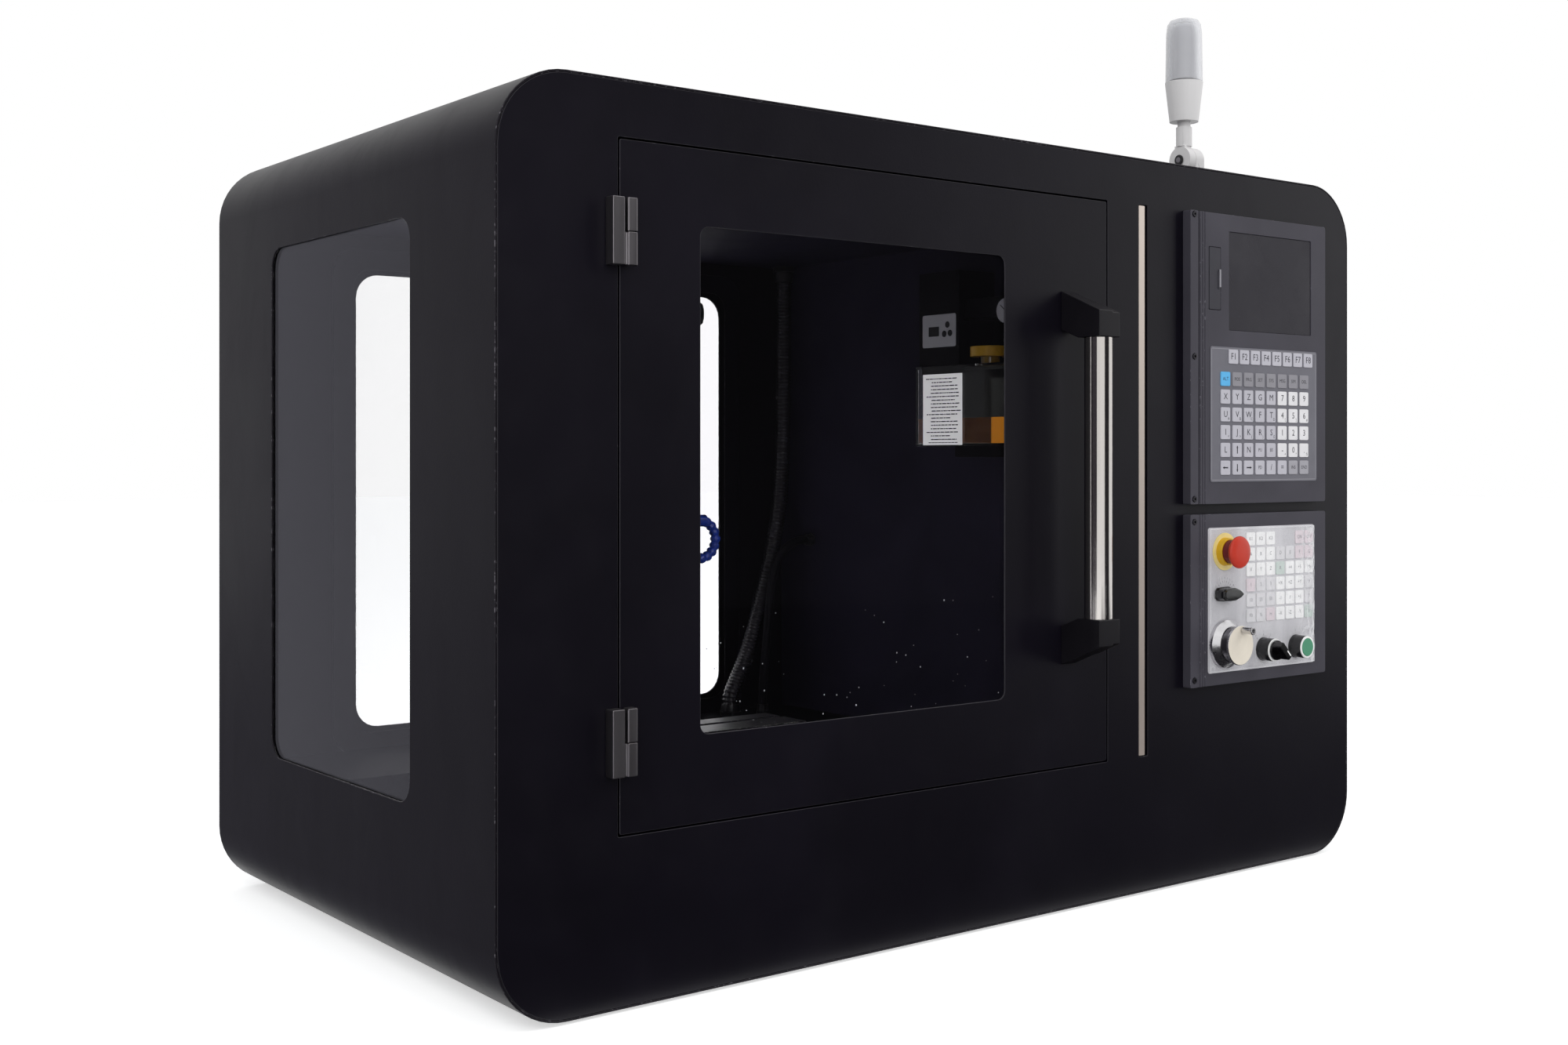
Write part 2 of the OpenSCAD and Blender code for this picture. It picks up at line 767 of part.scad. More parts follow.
module strip_diffuser() {
    color("#8a8580") in_place()
        front_plate([strip_x + 1, strip_x + 1 + diffuser_w], wider(door_zs, -1),
                    [0.6, strip_depth - strip_wall], 1, 3);
}

// ---------------------------------------------------------------- door

// Fixed leaf: a block on the front plate, a web and the lower half of the barrel, with its pin
// A hinge barrel: flat in front, rounded where it passes the turning door
module hinge_barrel(h) {
    r = barrel_r;
    linear_extrude(h) polygon([
        [-r, 0.8 - r], [0.8 - r, -r], [0.66 * r, -r], [0.88 * r, -0.62 * r], [r, -0.4 * r],
        [r, 0.41 * r], [0.41 * r, r], [-0.41 * r, r], [-r, 0.41 * r]
    ]);
}

module hinge_leaves_fixed() {
    half = hinge_h / 2;
    color("#454345") in_place() for (z = hinge_mid) {
        block(hinge_block, [-hinge_out, 0], [z - half, z + half]);
        block([hinge_block[1], hinge_x], [hinge_y - 4, hinge_y + 1], [z - half, z - 0.4]);
        translate([hinge_x, hinge_y, z - half]) hinge_barrel(half - 0.4);
        translate([hinge_x, hinge_y, z - half]) cylinder(h = hinge_h - 4, r = hinge_pin_r, $fn = 48);
    }
}

module hinge_leaves_door() {
    half = hinge_h / 2;
    color("#454345") in_place() for (z = hinge_mid) difference() {
        union() {
            translate([hinge_x, hinge_y, z]) hinge_barrel(half);
            block([hinge_x - 4, hinge_x + barrel_r], [hinge_y + 2, 0], [z, z + half]);
        }
        translate([hinge_x, hinge_y, z - cut])
            cylinder(h = half + cut - 3, r = hinge_pin_r + running, $fn = 48);
    }
}

module door_seal() {
    color("#161618") in_place() difference() {
        front_plate(wider(door_xs, -0.5), wider(door_zs, -0.5), [lip_y - seal_t, lip_y], 2, 3);
        front_plate(wider(door_xs, -lip_w + 1), wider(door_zs, -lip_w + 1),
                    [lip_y - seal_t - cut, lip_y + cut], 2, 3);
    }
}

// The door skin with its four folded edges
module door_panel() {
    color("#1a191e") in_place() {
        difference() {
            front_plate(skin_x, skin_z, [0, door_fold], 2, 3);
            front_plate(wider(skin_x, -door_t), wider(skin_z, -door_t), [door_t, door_fold + cut], 1, 3);
            front_plate(win_xs, win_zs, [-cut, door_fold + cut], door_win_r);
        }
    }
}

module door_pane() {
    color("#20222a", 0.5) in_place()
        front_plate(wider(win_xs, pane_lap), wider(win_zs, pane_lap), [door_t, door_t + pane_t], door_win_r);
}

module door_pane_frame() {
    rim = pane_lap + 14;
    color("#2b2b30") in_place() difference() {
        front_plate(wider(win_xs, rim), wider(win_zs, rim), [door_t, door_t + pane_t + frame_t], door_win_r);
        front_plate(wider(win_xs, pane_lap + seam), wider(win_zs, pane_lap + seam),
                    [0, door_t + pane_t], door_win_r);
        front_plate(wider(win_xs, 6), wider(win_zs, 6), [0, door_t + pane_t + frame_t + cut], door_win_r);
    }
}

module handle_tube() {
    color("#c8c8c6") in_place() translate([handle_x, -handle_off, handle_z]) difference() {
        cylinder(h = handle_l, r = handle_r, $fn = 64);
        translate([0, 0, -cut]) cylinder(h = handle_l + 2 * cut, r = handle_r - handle_wall, $fn = 64);
    }
}

// One bracket, with the tube's end at height zero and the block above it
module handle_bracket() {
    back = -handle_off + handle_r;
    front = -handle_off - handle_r - 1;
    slope = arm_rise / (back - front);
    translate([-bracket_w / 2, 0, 0]) rotate([90, 0, 90]) {
        linear_extrude(bracket_w) polygon([
            [front, 0], [back, 0], [back, bracket_h - arm_step + slope * bracket_w],
            [front, bracket_h - arm_step]
        ]);
        linear_extrude(arm_w) polygon([
            [front, 0], [back, 0], [0, 10], [0, bracket_h - slope * front], [front, bracket_h]
        ]);
    }
    translate([0, -handle_off, -12]) cylinder(h = 12, r = handle_r - handle_wall, $fn = 64);
}

module handle_brackets() {
    color("#0e0e10") in_place() translate([handle_x, 0, handle_z]) {
        translate([0, 0, handle_l]) handle_bracket();
        mirror([0, 0, 1]) handle_bracket();
    }
}

// ---------------------------------------------------------------- control panels

// The raised rail and the ribbed strip at a panel's left edge
module panel_edge(zs, screws) {
    difference() {
        front_plate([panel_x - 3, panel_x - 3 + rail_w], zs, [panel_y - rail_out, 0], 2, 3);
        for (s = screws)
            bar_y([panel_x - 3 + rail_w / 2, zs[0] + s], screw_r + 0.2, [panel_y - rail_out - cut, panel_y]);
    }
    for (i = [0:rib_n - 1])
        front_plate([panel_x + 17 + i * 4.5, panel_x + 20 + i * 4.5], zs, [panel_y - 1, 0], 1, 2);
}

module upper_panel_housing() {
    color("#4a4a50") in_place() {
        difference() {
            front_plate(panel_xs, up_zs, [panel_y, 0], 3, 3);
            front_plate([face_x - 18, face_x - 15], wider(up_zs, cut), [panel_y - cut, panel_y + 2], 0.5, 2);
            front_plate([display_x, display_x + display_w], [display_z, display_z + display_h],
                        [panel_y - cut, cut], 1, 3);
            front_plate([usb_x, usb_x + usb_w], [usb_z, usb_z + usb_h], [panel_y - cut, panel_y + 6], 1, 3);
            translate([usb_pin[0], usb_pin[1], usb_z - 2])
                cylinder(h = usb_h + 4, r = usb_pin_r + running, $fn = 24);
        }
        panel_edge(up_zs, up_screws);
    }
}

module lower_panel_housing() {
    color("#4a4a50") in_place() {
        difference() {
            front_plate(panel_xs, low_zs, [panel_y, 0], 3, 3);
            for (h = switch_holes) bar_y(h[0], h[1], [panel_y - cut, cut]);
        }
        panel_edge(low_zs, low_screws);
    }
}

module screw_at(at) {
    difference() {
        bar_y(at, screw_r, [panel_y - rail_out - 1, panel_y], 32);
        bar_y(at, 1.6, [panel_y - rail_out - 1 - cut, panel_y - rail_out + 0.8], 6);
    }
}

module panel_screws() {
    x = panel_x - 3 + rail_w / 2;
    color("#6b6b70") in_place() {
        for (s = up_screws) screw_at([x, up_zs[0] + s]);
        for (s = low_screws) screw_at([x, low_zs[0] + s]);
    }
}

module display_screen() {
    color("#35343b") in_place()
        front_plate([display_x + 0.2, display_x + display_w - 0.2],
                    [display_z + 0.2, display_z + display_h - 0.2], [panel_y + 1, 0], 1, 3);
}

module key(x, top, w, h, y) {
    front_plate([x, x + w], [top - h, top], [y - key_out, y], 1.6, 2);
}

module key_overlay() {
    y = panel_y - overlay_t;
    color("#77767e") in_place() {
        front_plate([overlay_x, overlay_x + overlay_w], [overlay_z, overlay_z + overlay_h],
                    [y, panel_y], 3, 3);
        for (c = [0:7]) key(fkey_x + c * fkey_pitch, fkey_z, key_w, key_h, y);
        for (r = [0:5], c = [0:7]) key(key_x + c * key_pitch, key_z - r * key_row, key_w, key_h, y);
    }
}

module membrane_plate() {
    color("#c9c9cc") in_place() difference() {
        union() {
            front_plate([membrane_x, membrane_x + membrane_w], [membrane_z, membrane_z + membrane_h],
                        [membrane_y, panel_y], 3, 3);
            for (c = low_first_row)
                key(low_key_x + c * low_key_pitch, low_key_z, low_key_w, low_key_h, membrane_y);
            for (r = [1:5], c = [0:6])
                key(low_key_x + c * low_key_pitch, low_key_z - r * low_key_row, low_key_w, low_key_h,
                    membrane_y);
        }
        for (h = switch_holes) bar_y(h[0], h[1], [membrane_y - cut, panel_y + cut]);
    }
}

// A flap hinged at its left edge over the data socket, with its two pivot stubs
module usb_flap() {
    x = [usb_x + 1.2, usb_x + usb_w - 0.5];
    color("#3c3c42") in_place() {
        front_plate(x, [usb_z + 0.5, usb_z + usb_h - 0.5], [panel_y, panel_y + 1.6], 1.5, 3);
        translate([usb_pin[0], usb_pin[1], usb_z - 1.5])
            cylinder(h = usb_h + 3, r = usb_pin_r, $fn = 24);
        front_plate([x[1] - 5, x[1] - 2], [usb_z + 26, usb_z + 48], [panel_y - 1, panel_y], 0.8, 2);
    }
}

// The bodies behind the front plate that the switch shafts turn and slide in
module switch_body(at, r) {
    difference() {
        block(wider([at[0], at[0]], switch_w / 2), [plate_t, plate_t + switch_l],
              wider([at[1], at[1]], switch_h / 2));
        bar_y(at, r, [plate_t - cut, plate_t + switch_l - 3]);
    }
}

module switch_bodies() {
    color("#2f2f33") in_place() {
        switch_body(estop_at, estop_shaft_r + running);
        switch_body(mode_at, shaft_r + running);
        switch_body(wheel_at, wheel_shaft_r + running);
        switch_body(selector_at, shaft_r + running);
        switch_body(button_at, shaft_r + running);
    }
}

// ---------------------------------------------------------------- switches

collar_y = membrane_y - estop_collar;   // front of the yellow collar
stem_y = collar_y - 8;                   // where the stem meets the red head

module estop_base() {
    r = estop_stem_r;
    color("#e5b800") in_place() difference() {
        union() {
            bar_y(estop_at, r + 8.8, [membrane_y - 1, membrane_y], 64);
            turned_y(estop_at, membrane_y - 1,
                     [[0, 0], [r + 3, 0], [r + 2.2, estop_collar - 2], [r + 1, estop_collar - 1],
                      [0, estop_collar - 1]]);
        }
        bar_y(estop_at, r + running, [collar_y - cut, collar_y + estop_travel + 1.5], 64);
        bar_y(estop_at, estop_shaft_r + running, [collar_y, membrane_y + cut], 64);
    }
}

module estop_stem() {
    color("#7a1418") in_place() {
        bar_y(estop_at, estop_stem_r, [stem_y, collar_y + 1], 64);
        bar_y(estop_at, estop_shaft_r, [collar_y + 1, plate_t + switch_l - 8], 64);
        bar_y(estop_at, 6, [stem_y - 7, stem_y], 48);
    }
}

module estop_head() {
    r = estop_r;
    color("#c83a2a") in_place() difference() {
        turned_y(estop_at, stem_y - 0.3,
                 [[0, 0], [estop_stem_r, 0], [r - 2.5, 2.4], [r - 0.5, 4.6], [r, 6.2], [r - 0.6, 7.6],
                  [r - 3, 9.2], [r - 9, 10.2], [0, 10.6]]);
        bar_y(estop_at, 6 + running, [stem_y - 7.5, stem_y + cut], 48);
    }
}

// A pointer knob: a round foot, a bar across it and a shaft
module pointer_knob(at, foot, bar, turn, lift) {
    y = membrane_y - lift;
    bar_y(at, foot, [y - 3, y]);
    translate([at[0], y - 3, at[1]]) rotate([90, 0, 0]) rotate([0, 0, turn])
        linear_extrude(bar[2]) polygon(round_rect(bar[0], bar[1], 2.5, 3));
    bar_y(at, shaft_r, [y, plate_t + switch_l - 4]);
}

// The outline of the mode knob's bar, rounded at one end and pointed at the other
function mode_outline(in) =
    let (l = mode_l / 2 - in, w = mode_w / 2 - in)
    [[-l, -w * 0.55], [-l * 0.8, -w * 0.9], [-l * 0.3, -w], [l * 0.25, -w], [l * 0.75, -w * 0.6],
     [l, -w * 0.12], [l, w * 0.12], [l * 0.75, w * 0.6], [l * 0.25, w], [-l * 0.3, w],
     [-l * 0.8, w * 0.9], [-l, w * 0.55]];

module mode_knob() {
    y = membrane_y - 0.3;
    color("#18181a") in_place() {
        translate([mode_at[0], y, mode_at[1]]) rotate([90, 0, 0]) {
            linear_extrude(3) polygon(mode_outline(0));
            linear_extrude(13.5) polygon(mode_outline(1));
            linear_extrude(16) polygon(mode_outline(2.6));
        }
        bar_y(mode_at, shaft_r, [y, plate_t + switch_l - 4]);
    }
}

module selector_knob() {
    color("#18181a") in_place() pointer_knob(selector_at, ring_r - 2.5, [26, 9, 13], -45, ring_l + 0.3);
}

// The round collars of the selector and the green button
module switch_rings() {
    collar = [
        [0, 0], [ring_r, 0], [ring_r, 1.5], [ring_r - 0.6, 2.5], [ring_r - 0.6, ring_l - 1],
        [ring_r - 1.4, ring_l], [0, ring_l]
    ];
    color("#1b1b1e") in_place() {
        difference() {
            turned_y(selector_at, membrane_y, collar);
            bar_y(selector_at, shaft_r + 1, [membrane_y - ring_l - cut, membrane_y + cut]);
        }
        difference() {
            turned_y(button_at, membrane_y, collar);
            bar_y(button_at, button_r + running, [membrane_y - ring_l - cut, membrane_y - 2]);
            bar_y(button_at, shaft_r + 1, [membrane_y - ring_l, membrane_y + cut]);
        }
    }
}

module green_button() {
    front = membrane_y - ring_l - 0.6;
    cap_l = 7.5;
    color("#57947a") in_place() {
        turned_y(button_at, front + cap_l,
                 [[0, 0], [button_r, 0], [button_r, cap_l - 0.7], [button_r - 0.7, cap_l], [0, cap_l]]);
        bar_y(button_at, shaft_r, [front + cap_l, plate_t + switch_l - 3 - button_travel - 1]);
    }
}

bezel_l = 12;                  // how far the handwheel's coned bezel stands off the key plate
wheel_face = membrane_y - 25;

module handwheel_flange() {
    r = wheel_flange_r;
    color("#b9babc") in_place() difference() {
        turned_y(wheel_at, membrane_y,
                 [[0, 0], [r, 0], [r, 4.8], [r - 0.6, 5.3], [r - 7, bezel_l], [0, bezel_l]], 96);
        bar_y(wheel_at, wheel_shaft_r + running, [membrane_y - bezel_l - cut, membrane_y + cut]);
    }
}

module handwheel() {
    r = wheel_r;
    back = membrane_y - bezel_l - 0.4;
    l = back - wheel_face;
    color("#e6dfd3") in_place() difference() {
        union() {
            turned_y(wheel_at, back,
                     [[0, 0], [r - 2.5, 0], [r - 2.5, l - 3.6], [r - 0.4, l - 3.4], [r, l - 3], [r, l - 0.5],
                      [r - 0.5, l], [0, l]], 96);
            bar_y(wheel_at, wheel_shaft_r, [back - cut, plate_t + switch_l - 4]);
        }
        bar_y(crank_at, 2 + running, [wheel_face - cut, wheel_face + 9]);
    }
}

crank_off = wheel_r - 6;
crank_at = [wheel_at[0] + 3.5, wheel_at[1] + crank_off];

module handwheel_crank() {
    color("#a9aaac") in_place() {
        turned_y(crank_at, wheel_face - 0.3,
                 [[0, 0], [3.6, 0], [4.3, 1], [4.3, 12], [5, 13.5], [5, 15.4], [4.4, 16], [2.6, 16],
                  [2.4, 14], [0, 14]], 32);
        bar_y(crank_at, 2, [wheel_face - 1, wheel_face + 8.5], 32);
    }
}

// ---------------------------------------------------------------- signal light

knuckle_r = 18;
knuckle_x = [-9, 3, 20.6];     // left side, parting line and right side, from the light's axis
screw_head = 2.5;

module signal_bracket() {
    x = [knuckle_x[1] + slide_gap, knuckle_x[2]];
    color("#d0d0d2") in_place() translate([tower_x, tower_y, body_h]) difference() {
        union() {
            cylinder(h = 5, r = 26, $fn = 64);
            block(x, [-knuckle_r, knuckle_r], [4, tower_pivot]);
            bar_x([0, tower_pivot], knuckle_r, x, 64);
            bar_x([0, tower_pivot], tower_pin_r, [knuckle_x[0] - screw_head, x[0] + 5]);
            bar_x([0, tower_pivot], tower_pin_r + 3,
                  [knuckle_x[0] - slide_gap - screw_head, knuckle_x[0] - slide_gap]);
        }
        translate([0, 0, -cut]) cylinder(h = 5 + 2 * cut, r = 6, $fn = 32);
    }
}

module signal_stem() {
    x = [knuckle_x[0], knuckle_x[1]];
    foot = tower_pivot + knuckle_r + slide_gap;
    collar = post_top - 7;
    color("#e4e4e4") in_place() translate([tower_x, tower_y, body_h]) difference() {
        union() {
            bar_x([0, tower_pivot], knuckle_r, x, 64);
            block(x, [2 - post_r, post_r - 2], [tower_pivot, foot + 1]);
            translate([0, 0, foot]) cylinder(h = collar - foot, r = post_r, $fn = 48);
            translate([0, 0, foot]) cylinder(h = post_top - foot, r = 8.5, $fn = 48);
            translate([0, 0, post_top])
                cylinder(h = cone_h, r1 = lens_r - 5.5, r2 = lens_r + 0.5, $fn = 64);
        }
        bar_x([0, tower_pivot], tower_pin_r + running, wider(x, cut));
    }
}

module signal_lens() {
    r = lens_r;
    h = lens_h;
    color("#cfcfd2", 0.6) in_place() translate([tower_x, tower_y, body_h + lens_z])
        rotate_extrude($fn = 64) polygon([
            [r - 2.5, 0], [r, 0], [r - 1, h * 0.75], [r - 2.4, h * 0.9], [r - 6, h * 0.965],
            [r - 12, h * 0.99], [0, h], [0, h - 3], [r - 12, h * 0.95], [r - 7, h * 0.92],
            [r - 4.6, h * 0.85], [r - 3.5, h * 0.72]
        ]);
}

// ---------------------------------------------------------------- mill

module base_casting() {
    trough_y = [base_y + casting_wall, column_y - 10];
    color("#7c8288") in_place() difference() {
        block([mill_x - base_w / 2, mill_x + base_w / 2], [base_y, base_y + base_l], [sheet_t, base_top]);
        block([mill_x - trough_w / 2, mill_x + trough_w / 2], trough_y,
              [base_top - trough_h, base_top + cut]);
        bar_y([mill_x, y_screw_z], screw_xy_r + running, [base_y - cut, trough_y[1] + 12]);
        block([mill_x - base_w / 2 + casting_wall, mill_x + base_w / 2 - casting_wall],
              [base_y + casting_wall, base_y + base_l - casting_wall],
              [sheet_t - cut, base_top - trough_h - casting_wall]);
    }
}

module column() {
    y = [column_y, column_y + column_l];
    half = column_w / 2;
    color("#7c8288") in_place() difference() {
        block([mill_x - half, mill_x + half], y, [base_top, column_top]);
        block([mill_x - half + casting_wall, mill_x + half - casting_wall],
              [y[0] + 48, y[1] - casting_wall], [base_top - cut, column_top - casting_wall]);
        block([mill_x - 25, mill_x + 25], [y[0] - cut, y[0] + 31], [base_top + 160, z_top]);
        translate([mill_x, z_screw_y, base_top + 150])
            cylinder(h = column_top, r = screw_z_r + running, $fn = 48);
    }
}

module linear_rails() {
    color("#b4b7ba") in_place() {
        for (s = [-1, 1]) {
            x = mill_x + s * rail_half;
            block([x - guide_w / 2, x + guide_w / 2], [base_y + 10, column_y - 10],
                  [base_top, base_top + guide_h]);
            zx = mill_x + s * rail_z_half;
            block([zx - guide_w / 2, zx + guide_w / 2], [face_y, column_y], [base_top + 170, z_top]);
        }
    }
}

module saddle() {
    x = [mill_x - saddle_w / 2, mill_x + saddle_w / 2];
    y = [spindle_y - saddle_l / 2, spindle_y + saddle_l / 2];
    color("#868c92") in_place() difference() {
        union() {
            block(x, y, [base_top + slide_gap, saddle_top]);
            block(x, [spindle_y - way_half, spindle_y + way_half], [saddle_top, guide_top]);
            block([mill_x - nut_w / 2, mill_x + nut_w / 2], [spindle_y - 22, spindle_y + 22],
                  [y_screw_z - 14, base_top + 2]);
            block([mill_x - 20, mill_x + 20], [spindle_y - 11, spindle_y + 11], [guide_top, x_screw_z + 10]);
        }
        for (s = [-1, 1]) {
            rx = mill_x + s * rail_half;
            block([rx - guide_w / 2 - slide_gap, rx + guide_w / 2 + slide_gap], wider(y, cut),
                  [base_top, base_top + guide_h + slide_gap]);
        }
        bar_y([mill_x, y_screw_z], screw_xy_r + 0.2, [spindle_y - 30, spindle_y + 30]);
        bar_x([spindle_y, x_screw_z], screw_xy_r + 0.2, [mill_x - 30, mill_x + 30]);
        block(wider(x, cut), [spindle_y - 9, spindle_y + 9], [guide_top - 5, guide_top + slide_gap]);
    }
}

// The table with three T-slots on top, a way underneath and an end plate at each end
module table() {
    x = [mill_x - table_l / 2, mill_x + table_l / 2];
    low = saddle_top + slide_gap;
    color("#8f9499") in_place() difference() {
        union() {
            block(x, [spindle_y - table_w / 2, spindle_y + table_w / 2], [low, table_top]);
            block(wider(x, end_plate_t), [spindle_y - 30, spindle_y + 30], [low, table_top - 8]);
        }
        block(x, [spindle_y - way_half - slide_gap, spindle_y + way_half + slide_gap],
              [low - cut, guide_top + slide_gap]);
        block(x, [spindle_y - 12, spindle_y + 12], [low - cut, x_screw_z + 11]);
        bar_x([spindle_y, x_screw_z], screw_xy_r + running,
              [x[0] - end_plate_t - cut, x[1] + end_plate_t + cut]);
        for (i = [-1, 1]) {
            y = spindle_y + i * slot_pitch;
            block(wider(x, cut), [y - slot_w / 2, y + slot_w / 2], [table_top - slot_h, table_top + cut]);
            block(wider(x, cut), [y - slot_w, y + slot_w], [table_top - slot_h, table_top - slot_h + 8]);
        }
        block([x[0] - cut - end_plate_t, x[1] + cut + end_plate_t],
              [spindle_y - slot_w / 2, spindle_y + slot_w / 2], [table_top - 8, table_top + cut]);
    }
}

// A square stepper-style motor, from its front flange along the given length
module motor_box(l) {
    linear_extrude(l) polygon(round_rect(motor_w - 4, motor_w - 4, 5, 3));
    linear_extrude(9) polygon(round_rect(motor_w, motor_w, 4, 3));
    translate([0, 0, l - 9]) linear_extrude(9) polygon(round_rect(motor_w, motor_w, 4, 3));
}

module axis_motors() {
    color("#26262a") in_place() {
        translate([mill_x, base_y, y_screw_z]) rotate([90, 0, 0]) motor_box(motor_l);
        translate([mill_x, z_screw_y, column_top]) motor_box(motor_l + 10);
    }
}

module x_motor() {
    color("#26262a") in_place()
        translate([mill_x - table_l / 2 - end_plate_t, spindle_y, x_screw_z])
            rotate([0, -90, 0]) linear_extrude(motor_l) polygon(round_rect(40, 40, 4, 3));
}

module x_screw() {
    color("#aeb1b4") in_place()
        bar_x([spindle_y, x_screw_z], screw_xy_r,
              [mill_x - table_l / 2 - end_plate_t + slide_gap, mill_x + table_l / 2 + end_plate_t]);
}

module y_screw() {
    color("#aeb1b4") in_place() bar_y([mill_x, y_screw_z], screw_xy_r, [base_y + slide_gap, column_y]);
}

module z_screw() {
    color("#aeb1b4") in_place() translate([mill_x, z_screw_y, base_top + 151])
        cylinder(h = column_top - base_top - 151 - slide_gap, r = screw_z_r, $fn = 48);
}

// The head: round nose, neck back to a carriage plate that runs on the Z rails
module head_casting() {
    plate_half = 82;
    back = column_y - slide_gap;
    color("#8b9197") in_place() difference() {
        union() {
            translate([mill_x, spindle_y, head_z]) cylinder(h = head_h, r = head_r, $fn = 96);
            block([mill_x - head_r + 2, mill_x + head_r - 2], [spindle_y, face_y - 20],
                  [head_z + 10, head_top]);
            block([mill_x - plate_half, mill_x + plate_half], [face_y - 22, back], [head_z - 10, head_top]);
            block([mill_x - 17, mill_x + 17], [face_y - 2, z_screw_y + 13], [nut_z, nut_z + 40]);
        }
        for (s = [-1, 1]) {
            x = mill_x + s * rail_z_half;
            block([x - guide_w / 2 - slide_gap, x + guide_w / 2 + slide_gap],
                  [face_y - slide_gap, back + cut], [head_z - 10 - cut, head_top + cut]);
        }
        translate([mill_x, spindle_y, head_z - cut])
            cylinder(h = head_h + 2 * cut, r = spindle_r + running, $fn = 96);
        translate([mill_x, z_screw_y, nut_z - cut]) cylinder(h = 42, r = screw_z_r + 0.2, $fn = 48);
    }
}

module spindle_motor() {
    r = spindle_motor_r;
    h = spindle_motor_h;
    color("#232327") in_place() translate([mill_x, spindle_y, head_top]) rotate_extrude($fn = 96)
        polygon([
            [0, 0.3], [spindle_r, 0.3], [spindle_r, 0], [r, 0], [r, 6], [r - 1.5, 7], [r - 1.5, 33],
            [r + 5, 38], [r + 6.5, 44], [r + 6.5, 54], [r + 5, 60], [r - 1.5, 65], [r - 1.5, h - 26],
            [r, h - 25], [r, h - 12], [r - 3, h - 3], [r - 8, h], [0, h]
        ]);
}

module spindle() {
    color("#c3c6c8") in_place() translate([mill_x, spindle_y, head_z]) difference() {
        union() {
            cylinder(h = head_h - 0.5, r = spindle_r, $fn = 96);
            translate([0, 0, -nose_h]) rotate_extrude($fn = 96)
                polygon([[0, 0], [14, 0], [17, 3], [17, 22], [spindle_r + 5, 24], [spindle_r + 5, nose_h - 1],
                         [0, nose_h - 1]]);
            translate([0, 0, -2]) cylinder(h = 4, r = spindle_r, $fn = 96);
        }
        translate([0, 0, -nose_h - cut]) cylinder(h = tool_l + cut, r = tool_r, $fn = 64);
    }
}

// The coolant nozzle: a fitting on the head's right flank, then ball links along an arc to the tool
module coolant_hose() {
    color("#3a6ea8") in_place() translate([mill_x + head_r - nozzle_in, spindle_y - nozzle_front, head_z + 6]) {
        difference() {
            translate([-6, 0, nozzle_bend]) rotate([0, 90, 0]) cylinder(h = 13, r = 7, $fn = 32);
            translate([nozzle_in - head_r, nozzle_front, -cut]) cylinder(h = head_h, r = head_r + seam / 2, $fn = 96);
        }
        tube_along(nozzle_route, nozzle_radii, 12);
    }
}

// ---------------------------------------------------------------- oiler

module oiler_pump() {
    y = [oiler_y, oiler_y + oiler_l];
    top = oiler_z + oiler_h;
    manifold_z = [top + 58, top + 84];
    gauge = [y[0] + 26, top + 63];
    label_t = 1.4;
    color("#34353a") in_place() {
        difference() {
            union() {
                block([oiler_x + 6, wall_x], [y[0] + oiler_split, y[1]], [top, top + pump_h]);
                block([oiler_x + 16, wall_x], [y[0], y[0] + oiler_split], manifold_z);
                block([wall_x - 4, wall_x], wider(y, -4), [oiler_z - 14, manifold_z[0]]);
            }
            bar_x([gauge[0] + 5, gauge[1] + 4], 6, [oiler_x + 14, oiler_x + 30]);
        }
        bar_x(gauge, gauge_r, [oiler_x - 4, oiler_x + 16], 64);
        side_plate([y[0] + oiler_split + 4, y[1] - 8], [top + 24, top + 67],
                   [oiler_x + 6 - label_t, oiler_x + 6], 3, 3);
    }
}

module oiler_reservoir() {
    x = [oiler_x, wall_x - 4];
    y = [oiler_y, oiler_y + oiler_l];
    z = [oiler_z, oiler_z + oiler_h];
    w = oiler_wall;
    color("#dfe6ea", 0.4) in_place() difference() {
        union() {
            block(x, y, z);
            translate([cap_at[0], cap_at[1], z[1] - cut])
                cylinder(h = cap_neck + cut, r = cap_pin_r + w, $fn = 48);
        }
        block(wider(x, -w), wider(y, -w), [z[0] + w, z[1] - w]);
        translate([cap_at[0], cap_at[1], z[1] - w - cut])
            cylinder(h = w + cap_neck + 2 * cut, r = cap_pin_r + running, $fn = 48);
    }
}

module oiler_cap() {
    color("#e2b71c") in_place()
        translate([cap_at[0], cap_at[1], oiler_z + oiler_h + cap_neck]) {
            cylinder(h = 13, r = cap_r, $fn = 48);
            translate([0, 0, -8]) cylinder(h = 8, r = cap_pin_r, $fn = 48);
        }
}

// ---------------------------------------------------------------- glands, hoses, electrics

// A cable gland turned about Z, from its seat up: flange, hexagon and dome, with its bore
module gland(r, bore, h) {
    difference() {
        union() {
            cylinder(h = h * 0.35, r = r, $fn = 6);
            cylinder(h = h * 0.7, r = r * 0.82, $fn = 48);
            translate([0, 0, h * 0.7]) cylinder(h = h * 0.3, r1 = r * 0.82, r2 = r * 0.74, $fn = 48);
        }
        translate([0, 0, -cut]) cylinder(h = h + 2 * cut, r = bore, $fn = 48);
    }
}

